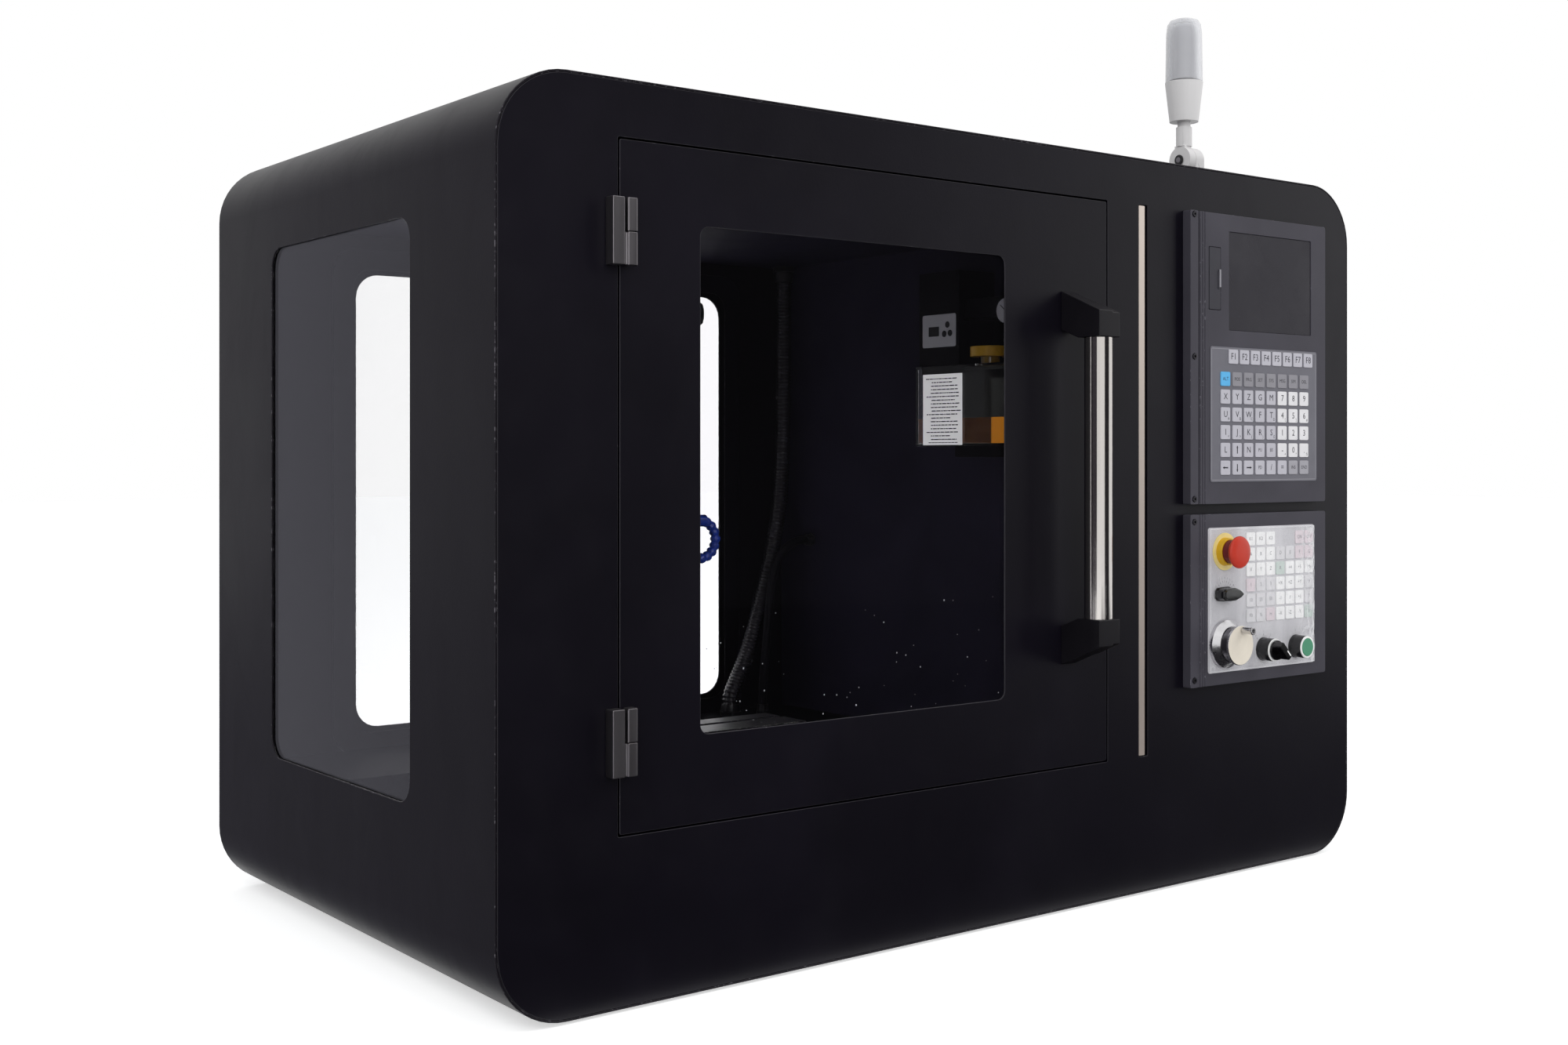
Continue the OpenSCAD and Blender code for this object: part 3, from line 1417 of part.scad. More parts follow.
module cable_glands() {
    color("#1f1f22") in_place() {
        translate([gland_high[0], gland_high[1], roof_z]) mirror([0, 0, 1])
            gland(gland_r, conduit_r - 2, roof_z - gland_high[2]);
        translate([gland_low[0], gland_low[1], shelf_z + tray_t])
            gland(gland_r, conduit_r - 2, gland_low[2] - shelf_z - tray_t);
        translate([wall_x, hose_start[1], hose_start[2]]) rotate([0, -90, 0])
            gland(10, hose_r - 1, wall_x - hose_start[0]);
        translate([hose_end[0], hose_end[1], shelf_z + tray_t])
            gland(10, hose_r - 1, hose_end[2] - shelf_z - tray_t);
        translate([power_at[0], body_d, power_at[1]]) rotate([-90, 0, 0])
            gland(15, power_bore_r, power_gland_l);
    }
}

module conduit() {
    color("#77777c") in_place() tube_along(conduit_route, conduit_r, 12);
}

module small_hose() {
    color("#6d7076") in_place() tube_along(hose_route, hose_r, 10);
}

// The mounting plate on four posts, with drives, a supply and a controller on it
module electrics() {
    y = [plate_y, plate_y + plate_l];
    z = [plate_z, plate_z + plate_h];
    wall = wall_x + liner_t;
    face = plate_x + plate_in;
    low = [z[0] + 60, z[0] + 60 + supply_h];
    high = [z[1] - 100 - drive_h, z[1] - 100];
    color("#9a9a98") in_place() {
        block([plate_x, face], y, z);
        for (py = [y[0] + 20, y[1] - 20], pz = [z[0] + 20, z[1] - 20])
            bar_x([py, pz], 5, [wall, plate_x]);
        for (i = [0:drive_n - 1])
            let (drive_y = y[0] + 24 + i * drive_pitch)
            block([face, face + drive_l], [drive_y, drive_y + drive_w], high);
        block([face, face + drive_l * 0.65], [y[0] + 30, y[0] + plate_l / 2 - 10], low);
        block([face, face + drive_l * 0.55], [y[0] + plate_l / 2 + 20, y[1] - 30], low);
    }
}

wrap_shell();
front_panel();
rear_panel();
feet();
chamber_liner();
window_panes();
pane_frames();
chip_tray();
drain_grille();
strip_diffuser();
hinge_leaves_fixed();
door_seal();
door_panel();
hinge_leaves_door();
door_pane();
door_pane_frame();
handle_tube();
handle_brackets();
upper_panel_housing();
lower_panel_housing();
panel_screws();
display_screen();
key_overlay();
membrane_plate();
usb_flap();
switch_bodies();
estop_base();
estop_stem();
estop_head();
mode_knob();
handwheel_flange();
handwheel();
handwheel_crank();
selector_knob();
switch_rings();
green_button();
signal_bracket();
signal_stem();
signal_lens();
base_casting();
column();
linear_rails();
saddle();
table();
axis_motors();
x_motor();
x_screw();
y_screw();
z_screw();
head_casting();
spindle_motor();
spindle();
coolant_hose();
oiler_pump();
oiler_reservoir();
oiler_cap();
cable_glands();
conduit();
small_hose();
electrics();
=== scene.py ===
# %% [markdown]
# # A desktop CNC milling machine
# A bench-sized milling machine lives in a closed sheet-steel cabinet with rounded corners. A
# hinged door with a large window opens on the work chamber, two control panels sit to its right,
# and a small signal light stands on the roof. The frame already holds every rigid piece at its
# true size and place. What is left to do here is to soften the sharp edges as real pressing and
# moulding does, to add the small things that carry the look, such as key caps and legends, and to
# give every surface a finish.

# %% Load the frame
import json
import math
import random

import bpy
import bmesh
from mathutils import Matrix, Vector, noise


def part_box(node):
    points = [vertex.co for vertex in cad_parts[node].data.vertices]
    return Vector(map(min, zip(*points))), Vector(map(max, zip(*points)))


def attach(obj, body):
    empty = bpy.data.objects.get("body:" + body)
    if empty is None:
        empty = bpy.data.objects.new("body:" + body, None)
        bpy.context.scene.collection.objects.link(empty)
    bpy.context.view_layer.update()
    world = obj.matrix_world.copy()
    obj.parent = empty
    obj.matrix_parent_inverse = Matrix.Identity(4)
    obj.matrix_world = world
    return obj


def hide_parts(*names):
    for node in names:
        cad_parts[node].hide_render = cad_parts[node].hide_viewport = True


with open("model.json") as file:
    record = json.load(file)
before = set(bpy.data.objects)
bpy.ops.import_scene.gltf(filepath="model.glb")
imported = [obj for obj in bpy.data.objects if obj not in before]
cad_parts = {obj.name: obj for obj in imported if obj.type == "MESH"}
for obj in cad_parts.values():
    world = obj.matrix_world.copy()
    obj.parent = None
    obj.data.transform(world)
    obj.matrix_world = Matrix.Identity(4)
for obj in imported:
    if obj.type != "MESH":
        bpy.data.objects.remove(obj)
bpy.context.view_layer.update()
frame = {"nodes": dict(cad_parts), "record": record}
bpy.ops.object.select_all(action="DESELECT")
body_of_node = {
    node: body
    for body, nodes in frame["record"]["behaviour"]["bodies"].items()
    for node in nodes
}
slot_of_node = {part["node"]: part["material_slot"] for part in frame["record"]["subparts"]}

# %% [markdown]
# Every place in this script is worked out from the frame's own boxes, so that a change of a size
# in the construction moves the looks with it. The casing's box gives the front face and the left
# side.

# %% Places taken from the frame
MM = 0.001


def box(node):
    low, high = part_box(node)
    return Vector(low), Vector(high)


wrap_low, wrap_high = box("wrap_shell")
LEFT, FRONT, FLOOR = wrap_low
RIGHT, REAR, ROOF = wrap_high


def at(x, y, z):
    """A point given in millimetres from the casing's left side, front face and underside."""
    return Vector((LEFT + x * MM, FRONT + y * MM, FLOOR + z * MM))


def mm(point):
    """A point's millimetres from the same corner."""
    return (point.x - LEFT) / MM, (point.y - FRONT) / MM, (point.z - FLOOR) / MM


def mm_box(node):
    return [mm(corner) for corner in box(node)]


print("casing", [round(v, 3) for v in (RIGHT - LEFT, REAR - FRONT, ROOF - FLOOR)])

# %% [markdown]
# ## The camera
# The cabinet is seen from its front left corner at about the height of the window's middle, with a
# lens a little wider than normal. The horizon lies above the middle of the frame, and a shift lens
# keeps the uprights parallel, as in a studio picture of a machine.

# %% Camera
camera_data = bpy.data.cameras.new("studio_camera")
camera_data.sensor_width = 36
camera_data.lens = 40.3
camera_data.shift_y = -0.0415
camera_data.clip_end = 60
camera = bpy.data.objects.new("studio_camera", camera_data)
camera.location = at(-753, -1408, 521.5)
camera.rotation_euler = (math.radians(90), 0, math.radians(-37.5))
bpy.context.collection.objects.link(camera)
bpy.context.scene.camera = camera
bpy.context.scene.view_settings.view_transform = "Standard"
print("camera at", [round(v, 3) for v in camera.location])

# %% [markdown]
# ## The two hoses
# A ribbed conduit hangs from a gland in the chamber's roof and comes down, leaning to the left, to
# a gland on the rear shelf. A thin smooth hose leaves the right wall and drops to the shelf beside
# it. Both are of fixed length and lie along given points. A smooth curve through the points
# gives the middle line, and a ring of vertices is carried along it, so the ribs can be part of the
# tube.

# %% The hoses' middle lines
CONDUIT_POINTS = [
    (838, 668, 782), (838, 668, 740), (838, 668, 700), (838, 669, 660), (838, 670, 620),
    (838, 670, 580), (837, 670, 540), (835, 670, 500), (831, 669, 460), (824, 668, 420),
    (814, 666, 380), (802, 664, 340), (789, 662, 305), (776, 660, 270), (763, 657, 238),
    (750, 655, 214), (739, 653, 196), (731, 652, 182), (729, 652, 174), (729, 652, 166),
]
HOSE_POINTS = [
    (845, 624, 400), (837, 624, 400), (824, 624, 398), (811, 624, 391), (799, 625, 379),
    (790, 626, 362), (785, 627, 342), (782, 628, 318), (780, 629, 292), (778, 630, 264),
    (776, 631, 236), (774, 632, 210), (772, 632, 186), (772, 632, 164),
]


FINE_STEPS = 24  # straight steps that the curve is measured in, between two given points


def smooth_line(points, step):
    """Points a fixed step apart on a smooth curve through the given ones."""
    knots = [points[0] * 2 - points[1]] + points + [points[-1] * 2 - points[-2]]
    dense = []
    for a, b, c, d in zip(knots, knots[1:], knots[2:], knots[3:]):
        for i in range(FINE_STEPS):
            t = i / FINE_STEPS
            dense.append(0.5 * ((2 * b) + (c - a) * t + (2 * a - 5 * b + 4 * c - d) * t * t
                                + (3 * b - a - 3 * c + d) * t ** 3))
    dense.append(points[-1].copy())
    total = sum((q - p).length for p, q in zip(dense, dense[1:]))
    count = max(2, round(total / step))
    line, walked, wanted = [dense[0]], 0.0, total / count
    for p, q in zip(dense, dense[1:]):
        span = (q - p).length
        while walked + span >= wanted - 1e-9 and len(line) < count:
            line.append(p.lerp(q, (wanted - walked) / span))
            wanted += total / count
        walked += span
    line.append(dense[-1])
    return line, total


def tube_mesh(name, line, radius_at, sides):
    """A closed tube along a line, whose radius may change from ring to ring."""
    bm = bmesh.new()
    rings = []
    side = Vector((0, 1, 0))
    for i, point in enumerate(line):
        ahead = (line[min(i + 1, len(line) - 1)] - line[max(i - 1, 0)]).normalized()
        side = (side - ahead * side.dot(ahead)).normalized()
        up = ahead.cross(side)
        rings.append([
            bm.verts.new(point + radius_at(i) * (
                math.cos(math.tau * k / sides) * side + math.sin(math.tau * k / sides) * up))
            for k in range(sides)
        ])
    for ring, following in zip(rings, rings[1:]):
        for k in range(sides):
            m = (k + 1) % sides
            bm.faces.new((ring[k], ring[m], following[m], following[k]))
    bm.faces.new(rings[0][::-1])
    bm.faces.new(rings[-1])
    bmesh.ops.recalc_face_normals(bm, faces=bm.faces)
    mesh = bpy.data.meshes.new(name)
    bm.to_mesh(mesh)
    bm.free()
    piece = bpy.data.objects.new(name, mesh)
    bpy.context.collection.objects.link(piece)
    for face in mesh.polygons:
        face.use_smooth = True
    return piece


# %% [markdown]
# The conduit's ribs are 5 mm apart. Four rings to a rib, two at the crest and two in the groove,
# give the rounded wave of a corrugated tube with few faces.

# %% Ribbed conduit and smooth hose
RIB_PITCH, CREST, GROOVE, HOSE_RADIUS = 5 * MM, 12.0 * MM, 10.6 * MM, 6 * MM
RIB_RINGS = (CREST, CREST, GROOVE, GROOVE)
conduit_line, conduit_length = smooth_line([at(*p) for p in CONDUIT_POINTS], RIB_PITCH / 4)
conduit = tube_mesh("ribbed_conduit", conduit_line, lambda i: RIB_RINGS[i % 4], 20)
hose_line, hose_length = smooth_line([at(*p) for p in HOSE_POINTS], 6 * MM)
small_hose = tube_mesh("small_hose_tube", hose_line, lambda i: HOSE_RADIUS, 16)
for tube, line, length, diameter, node in (
    (conduit, conduit_line, conduit_length, 0.024, "conduit"),
    (small_hose, hose_line, hose_length, 0.012, "small_hose"),
):
    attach(tube, body_of_node[node])
    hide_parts(node)
    print(tube.name, round(length, 3), "m,", len(tube.data.polygons), "faces")

# %% [markdown]
# ## A bench for wiring shader nodes
# A finish is a small circuit of nodes. These short helpers place one node each and take a number,
# a colour or another node's output, so that a finish reads from top to bottom like a recipe.

# %% Node helpers
class Bench:
    """Places and wires the nodes of one shader tree."""

    def __init__(self, tree):
        self.nodes, self.links = tree.nodes, tree.links

    def feed(self, socket, value):
        if isinstance(value, bpy.types.NodeSocket):
            self.links.new(value, socket)
        elif value is not None:
            socket.default_value = value

    def wire(self, node, **values):
        """Feeds several inputs of a node by name, with spaces written as underscores."""
        for label, value in values.items():
            self.feed(node.inputs[label.replace("_", " ")], value)
        return node.outputs

    def place(self, kind, **settings):
        node = self.nodes.new("ShaderNode" + kind)
        for key, value in settings.items():
            setattr(node, key, value)
        return node

    def fill(self, node, *values):
        """Feeds the first inputs of a node in their order."""
        for socket, value in zip(node.inputs, values):
            self.feed(socket, value)
        return node.outputs[0]

    def sum_up(self, operation, a, b=None, c=None):
        return self.fill(self.place("Math", operation=operation), a, b, c)

    def span(self, value, low, high, to_low=0.0, to_high=1.0):
        """Carries a value from one span of numbers to another, and no further."""
        return self.fill(self.place("MapRange"), value, low, high, to_low, to_high)

    def blend(self, share, first, second):
        """Mixes two shaders."""
        return self.fill(self.place("MixShader"), share, first, second)

    def mix(self, share, first, second):
        """Mixes two colours, whose sockets come after those for numbers and places."""
        node = self.place("Mix", data_type="RGBA")
        for number, value in ((0, share), (6, first), (7, second)):
            self.feed(node.inputs[number], value)
        return node.outputs[2]

    def stretch(self, vector, scale):
        return self.wire(self.place("Mapping"), Vector=vector, Scale=scale)[0]

    def noise(self, vector, scale, detail=2.0, rough=0.5, warp=0.0):
        return self.wire(self.place("TexNoise"), Vector=vector, Scale=scale, Detail=detail,
                         Roughness=rough, Distortion=warp)[0]

    def spots(self, vector, scale):
        return self.wire(self.place("TexVoronoi"), Vector=vector, Scale=scale)["Distance"]


class Effect(Bench):
    """The bench of a shared effect, which takes a place and some numbers and gives numbers."""

    def __init__(self, name, **taken):
        self.group = bpy.data.node_groups.new(name, "ShaderNodeTree")
        super().__init__(self.group)
        self.add_socket("Place", "INPUT", "NodeSocketVector")
        for label, start in taken.items():
            self.add_socket(label, "INPUT").default_value = start
        outputs = self.nodes.new("NodeGroupInput").outputs
        self.taken = [outputs[label.replace("_", " ")] for label in ("Place", *taken)]

    def add_socket(self, label, side, kind="NodeSocketFloat"):
        label = label.replace("_", " ")
        return self.group.interface.new_socket(label, in_out=side, socket_type=kind)

    def give(self, **values):
        """Makes the outputs, wires them and gives the finished group."""
        for label in values:
            self.add_socket(label, "OUTPUT")
        self.wire(self.nodes.new("NodeGroupOutput"), **values)
        print(self.group.name, "gives", list(values))
        return self.group


print("bench ready")

# %% [markdown]
# ## Floor, backdrop and light
# The machine stands on a plain white floor under a white sky. The sky seems brighter to the eye,
# in mirrors and through glass than it is as a lamp, so that pale things keep their tone. The floor
# is lit by the sky and by three soft lamps, and keeps the shadow that the cabinet drops on it.

# %% Floor and sky
def new_material(name):
    material = bpy.data.materials.new(name)
    material.use_nodes = True
    return material


def seen_rays(bench):
    """Two switches: a ray from the eye, a mirror or a pane, and a ray from a pane alone."""
    path = bench.place("LightPath").outputs
    mirrored = bench.sum_up("MAXIMUM", path["Is Camera Ray"], path["Is Glossy Ray"])
    from_pane = path["Is Transmission Ray"]
    return bench.sum_up("MAXIMUM", mirrored, from_pane), from_pane


bpy.ops.mesh.primitive_plane_add(size=40, location=(0, 0, 0))
floor = bpy.context.object
floor.name = "studio_floor"
floor_finish = new_material("white_studio_floor")
bench = Bench(floor_finish.node_tree)
seen, from_pane = seen_rays(bench)
glow = bench.sum_up("MULTIPLY", seen, 0.55)
bench.wire(
    bench.nodes["Principled BSDF"], Base_Color=(0.86, 0.86, 0.86, 1), Roughness=0.9,
    Specular_IOR_Level=0.1, Emission_Color=(1, 1, 1, 1),
    Emission_Strength=bench.sum_up("MULTIPLY_ADD", from_pane, 0.15, glow),
)
floor.data.materials.append(floor_finish)

sky = bpy.data.worlds.new("studio_sky")
sky.use_nodes = True
bpy.context.scene.world = sky
sky.node_tree.nodes.clear()
bench = Bench(sky.node_tree)
seen, from_pane = seen_rays(bench)
as_lamp = bench.wire(bench.place("Background"), Color=(0.96, 0.98, 1.0, 1), Strength=0.55)[0]
as_seen = bench.wire(bench.place("Background"), Color=(1, 1, 1, 1),
                     Strength=bench.sum_up("MULTIPLY_ADD", from_pane, 0.16, 1.0))[0]
bench.wire(bench.place("OutputWorld"), Surface=bench.blend(seen, as_lamp, as_seen))
print("floor and sky ready")

# %% [markdown]
# Three large soft lamps stand high round the front. Dark cards, which only mirrors can see, put
# the darker stripes into polished steel and keep black paint black, as a photographer does with
# cloth. A card must also hide the sky from rays that come back out of a window after a reflection
# inside the glass, but not from rays that pass straight through it, so its finish asks how often
# the ray has been mirrored so far.

# %% Lamps
LAMPS = [  # name, place, width and height, power
    ("lamp_high_left", (-3.2, -1.2, 3.4), (2.4, 2.4), 60),
    ("lamp_high_right", (2.8, -2.6, 3.0), (2.4, 2.4), 55),
    ("lamp_front", (-1.0, -4.6, 1.8), (3.0, 2.0), 38),
]
LAMP_TARGET = Vector((0, 0, 0.5))
for name, place, size, power in LAMPS:
    data = bpy.data.lights.new(name, "AREA")
    data.shape = "RECTANGLE"
    data.size, data.size_y = size
    data.energy = power
    lamp = bpy.data.objects.new(name, data)
    lamp.location = place
    lamp.rotation_euler = (LAMP_TARGET - Vector(place)).to_track_quat("-Z", "Y").to_euler()
    lamp.visible_glossy = False
    bpy.context.collection.objects.link(lamp)
print(len(LAMPS), "lamps")


# %% Cards
def card_finish(name, shade, cloth):
    """A card's finish: a plain glow of the given shade, which only mirrored rays meet."""
    material = new_material(name)
    material.node_tree.nodes.clear()
    bench = Bench(material.node_tree)
    depth = bench.place("LightPath").outputs["Glossy Depth"]
    glow = bench.wire(bench.place("Emission"), Color=cloth, Strength=shade)[0]
    clear = bench.place("BsdfTransparent").outputs[0]
    either = bench.blend(bench.sum_up("GREATER_THAN", depth, 0.5), clear, glow)
    bench.wire(bench.place("OutputMaterial"), Surface=either)
    return material


def on_bearing(bearing, distance, height):
    """A place at a bearing in degrees, from straight ahead of the door towards the right."""
    angle = math.radians(bearing)
    return Vector((math.sin(angle) * distance, -math.cos(angle) * distance, height))


LILAC, PURPLE, BLUISH = (0.92, 0.88, 1.0, 1), (0.94, 0.84, 1.0, 1), (0.87, 0.86, 1.0, 1)
CARDS = [  # name, middle, width and height, turn and tilt in degrees, shade, cloth
    ("card_right", on_bearing(24, 4.4, 2.4), (3.1, 5.8), 24, 90, 0.03, LILAC),
    ("card_left", on_bearing(-81, 4.2, 1.7), (4.0, 4.4), -81, 90, 0.06, PURPLE),
    ("card_behind", (-2.7, 3.0, 1.7), (2.6, 4.4), -145, 90, 0.28, BLUISH),
    ("card_on_floor", (1.1, -2.2, 0.004), (4.8, 3.7), 0, 0, 0.02, LILAC),
    ("card_beside", (-2.12, 1.4, 0.004), (2.98, 5.4), 0, 0, 0.28, BLUISH),
]
for name, middle, size, turn, tilt, shade, cloth in CARDS:
    bpy.ops.object.select_all(action="DESELECT")
    bpy.ops.mesh.primitive_plane_add(size=1)
    card = bpy.context.object
    card.name = name
    card.data.transform(
        Matrix.Translation(middle) @ Matrix.Rotation(math.radians(turn), 4, "Z")
        @ Matrix.Rotation(math.radians(tilt), 4, "X") @ Matrix.Diagonal((*size, 1, 1)))
    card.data.materials.append(card_finish(name + "_cloth", shade, cloth))
    card.visible_camera = card.visible_diffuse = card.visible_shadow = False
print(len(CARDS), "cards")

# %% [markdown]
# ## Effects shared by several finishes
# **Coat grain** is the fine orange-peel skin of stoved powder paint, with slow changes of sheen
# over a hand's breadth. It gives a height for the bump and a small change of roughness.

# %% Coat grain
bench = Effect("coat_grain", Grains_per_metre=420.0, Sheen_change=0.06)
place, grains, change = bench.taken
fine = bench.noise(place, grains, 3.0, 0.55)
broad = bench.noise(place, 5.0, 3.0, 0.5, 0.6)
pits = bench.span(bench.spots(place, 900.0), 0.0, 0.5)
centred = bench.sum_up("SUBTRACT", bench.sum_up("MULTIPLY_ADD", fine, 0.4, broad), 0.7)
coat_grain = bench.give(
    Height=bench.sum_up("MULTIPLY_ADD", pits, 0.25, fine),
    Roughness_change=bench.sum_up("MULTIPLY", centred, change),
    Tone=bench.span(broad, 0.3, 0.7),
)

# %% [markdown]
# **Dust and smears** come from use: a thin scatter of dust specks, and wiped patches where a hand
# or a cloth has been. The mask goes into the colour and the smear into the roughness.

# %% Dust and smears
bench = Effect("dust_and_smears", Dust=0.3, Smears=0.3)
place, dust, smears = bench.taken
specks = bench.span(bench.spots(place, 260.0), 0.10, 0.02)
drift = bench.span(bench.noise(place, 9.0, 4.0, 0.6), 0.48, 0.75)
haze = bench.sum_up("MULTIPLY", bench.noise(place, 60.0, 5.0, 0.7), 0.22)
settled = bench.sum_up("MULTIPLY", bench.sum_up("MAXIMUM", specks, haze), drift)
wiped = bench.noise(bench.stretch(place, (1.0, 1.0, 0.45)), 11.0, 5.0, 0.65, 1.6)
dust_smears = bench.give(
    Dust_mask=bench.sum_up("MULTIPLY", settled, dust),
    Smear=bench.sum_up("MULTIPLY", bench.span(wiped, 0.45, 0.75), smears),
)

# %% [markdown]
# **Edge wear** shows where paint has rubbed thin along folded edges. Each softened piece carries
# an attribute called edge, which is 1 on the rounding of its edges and 0 on its flats. Noise
# breaks the line into flecks.

# %% Edge wear
bench = Effect("edge_wear", Edge=0.0, Amount=0.5)
place, edge, amount = bench.taken
flecks = bench.noise(place, 210.0, 4.0, 0.7)
patches = bench.noise(place, 14.0, 3.0, 0.6)
threshold = bench.span(bench.sum_up("MULTIPLY", patches, amount), 0.0, 0.6, 0.72, 0.34)
chipped = bench.span(bench.sum_up("SUBTRACT", flecks, threshold), 0.0, 0.06)
edge_wear = bench.give(Bare=bench.sum_up("MULTIPLY", chipped, edge))

# %% [markdown]
# **Brush lines** are the fine parallel scratches of brushed or turned metal. The caller stretches
# the place first, so that one group serves lines that run up, across or round.

# %% Brush lines
bench = Effect("brush_lines", Lines_per_metre=900.0)
place, lines = bench.taken
brush_lines = bench.give(
    Height=bench.noise(place, lines, 2.0, 0.6),
    Streak=bench.span(bench.noise(place, 120.0, 3.0, 0.6), 0.3, 0.7),
)

# %% [markdown]
# **Moulded skin** is the faint spark-eroded texture of moulded plastic, with slow flow marks.

# %% Moulded skin
bench = Effect("moulded_skin", Grains_per_metre=1400.0)
place, grains = bench.taken
moulded_skin = bench.give(
    Height=bench.noise(place, grains, 2.0, 0.5),
    Flow=bench.span(bench.noise(place, 38.0, 3.0, 0.5, 0.8), 0.3, 0.7),
)

# %% [markdown]
# ## Finishes
# Each finish below is one material. The numbers that hold all over a piece sit on the shader
# itself, and the groups only bring what changes from place to place.

# %% Colours as written, and the bench of a finish
def tone(code, factor=1.0):
    """A colour given as on screen, as the linear colour that a shader takes, times a factor."""
    channels = [int(code[i:i + 2], 16) / 255 for i in (1, 3, 5)]
    linear = [c / 12.92 if c < 0.04045 else ((c + 0.055) / 1.055) ** 2.4 for c in channels]
    return tuple(min(1.0, c * factor) for c in linear) + (1,)


class Finish(Bench):
    """The bench of a new finish, with its shader and the place on the piece."""

    def __init__(self, name, colour, roughness=0.5, metallic=0.0, specular=0.5):
        self.material = new_material(name)
        self.material.diffuse_color = tone(colour)
        super().__init__(self.material.node_tree)
        self.shader = self.nodes["Principled BSDF"]
        self.wire(self.shader, Base_Color=tone(colour), Roughness=roughness, Metallic=metallic,
                  Specular_IOR_Level=specular)
        self.spot = self.place("TexCoord").outputs["Object"]

    def mark(self, name):
        """A number that the piece carries at every point."""
        return self.place("Attribute", attribute_name=name).outputs["Fac"]

    def effect(self, group, spot=None, **values):
        """Places a shared effect, at the place on the piece if no other is given."""
        node = self.place("Group", node_tree=group)
        return self.wire(node, Place=self.spot if spot is None else spot, **values)

    def soil(self, body, gloss, dust, smears, dust_colour, dulling):
        """Lays dust over a colour and smears over a roughness."""
        marks = self.effect(dust_smears, Dust=dust, Smears=smears)
        return (self.mix(marks["Dust mask"], body, tone(dust_colour)),
                self.sum_up("MULTIPLY_ADD", marks["Smear"], dulling, gloss))

    def done(self, body, gloss, height, strength, depth):
        """Wires colour, roughness and bumps to the shader, and gives the material."""
        bump = self.wire(self.place("Bump"), Strength=strength, Distance=depth, Height=height)
        self.wire(self.shader, Base_Color=body, Roughness=gloss, Normal=bump[0])
        return self.material


print("paint", [round(c, 4) for c in tone("#15121a")])

# %% [markdown]
# ** Powder coat** covers all the sheet metal: nearly black, with a fine skin, a little dust, and
# worn flecks along the folds. Along the rounded edges of the wrap and the front the coat is also
# painted a little paler: a painted highlight where the edges catch the light. The outside of the
# wrap, the front, the chamber and the control housings are the same paint in slightly different
# tones.

# %% Powder coat
def powder_coat(name, colour, roughness, specular, wear, dust, line=0.0, bare="#6d6a70", skin=0.10):
    bench = Finish(name, colour, roughness, 0.0, specular)
    grain, edge = bench.effect(coat_grain), bench.mark("edge")
    worn = bench.effect(edge_wear, Edge=edge, Amount=wear)
    body = bench.mix(grain["Tone"], tone(colour, 0.82), tone(colour, 1.2))
    gloss = bench.sum_up("ADD", grain["Roughness change"], roughness)
    body, gloss = bench.soil(body, gloss, dust, 0.25, "#8f8d92", 0.18)
    # Painted highlight: a paler tone along the rounded edges, by the share given as line.
    body = bench.mix(bench.sum_up("MULTIPLY", edge, line), body, tone(bare))
    body = bench.mix(worn["Bare"], body, tone(bare))
    return bench.done(body, gloss, grain["Height"], skin, 0.0006)


# In the wrap and the front, the last number is the share of painted highlight along the rounded
# edges.
finishes = {
    "wrap_paint": powder_coat("black_coat_wrap", "#0e0a12", 0.43, 0.2, 0.5, 0.08, 0.12),
    "front_paint": powder_coat("black_coat_front", "#0b0812", 0.4, 0.28, 0.3, 0.05, 0.26),
    "inner_paint": powder_coat("black_coat_chamber", "#282635", 0.6, 0.02, 0.2, 0.06),
    "panel_paint": powder_coat("grey_coat_housings", "#403e46", 0.5, 0.3, 0.35, 0.2,
                               bare="#86858d", skin=0.07),
    "tray_steel": powder_coat("painted_tray", "#121116", 0.6, 0.03, 0.4, 0.15),
}
print(list(finishes))

# %% [markdown]
# **Moulded plastics** make the knobs, glands, brackets, caps and the signal light. They differ in
# colour and in how polished the mould was.

# %% Moulded plastics
def moulded(name, colour, roughness, specular, skin=0.05, flow=0.12, dust=0.15, grains=1400.0):
    bench = Finish(name, colour, roughness, 0.0, specular)
    surface = bench.effect(moulded_skin, Grains_per_metre=grains)
    body = bench.mix(surface["Flow"], tone(colour, 1 - flow), tone(colour, 1 + flow))
    gloss = bench.sum_up("MULTIPLY_ADD", surface["Flow"], 0.08, roughness - 0.04)
    body, gloss = bench.soil(body, gloss, dust, 0.4, "#9a9894", 0.2)
    return bench.done(body, gloss, surface["Height"], skin, 0.0003)


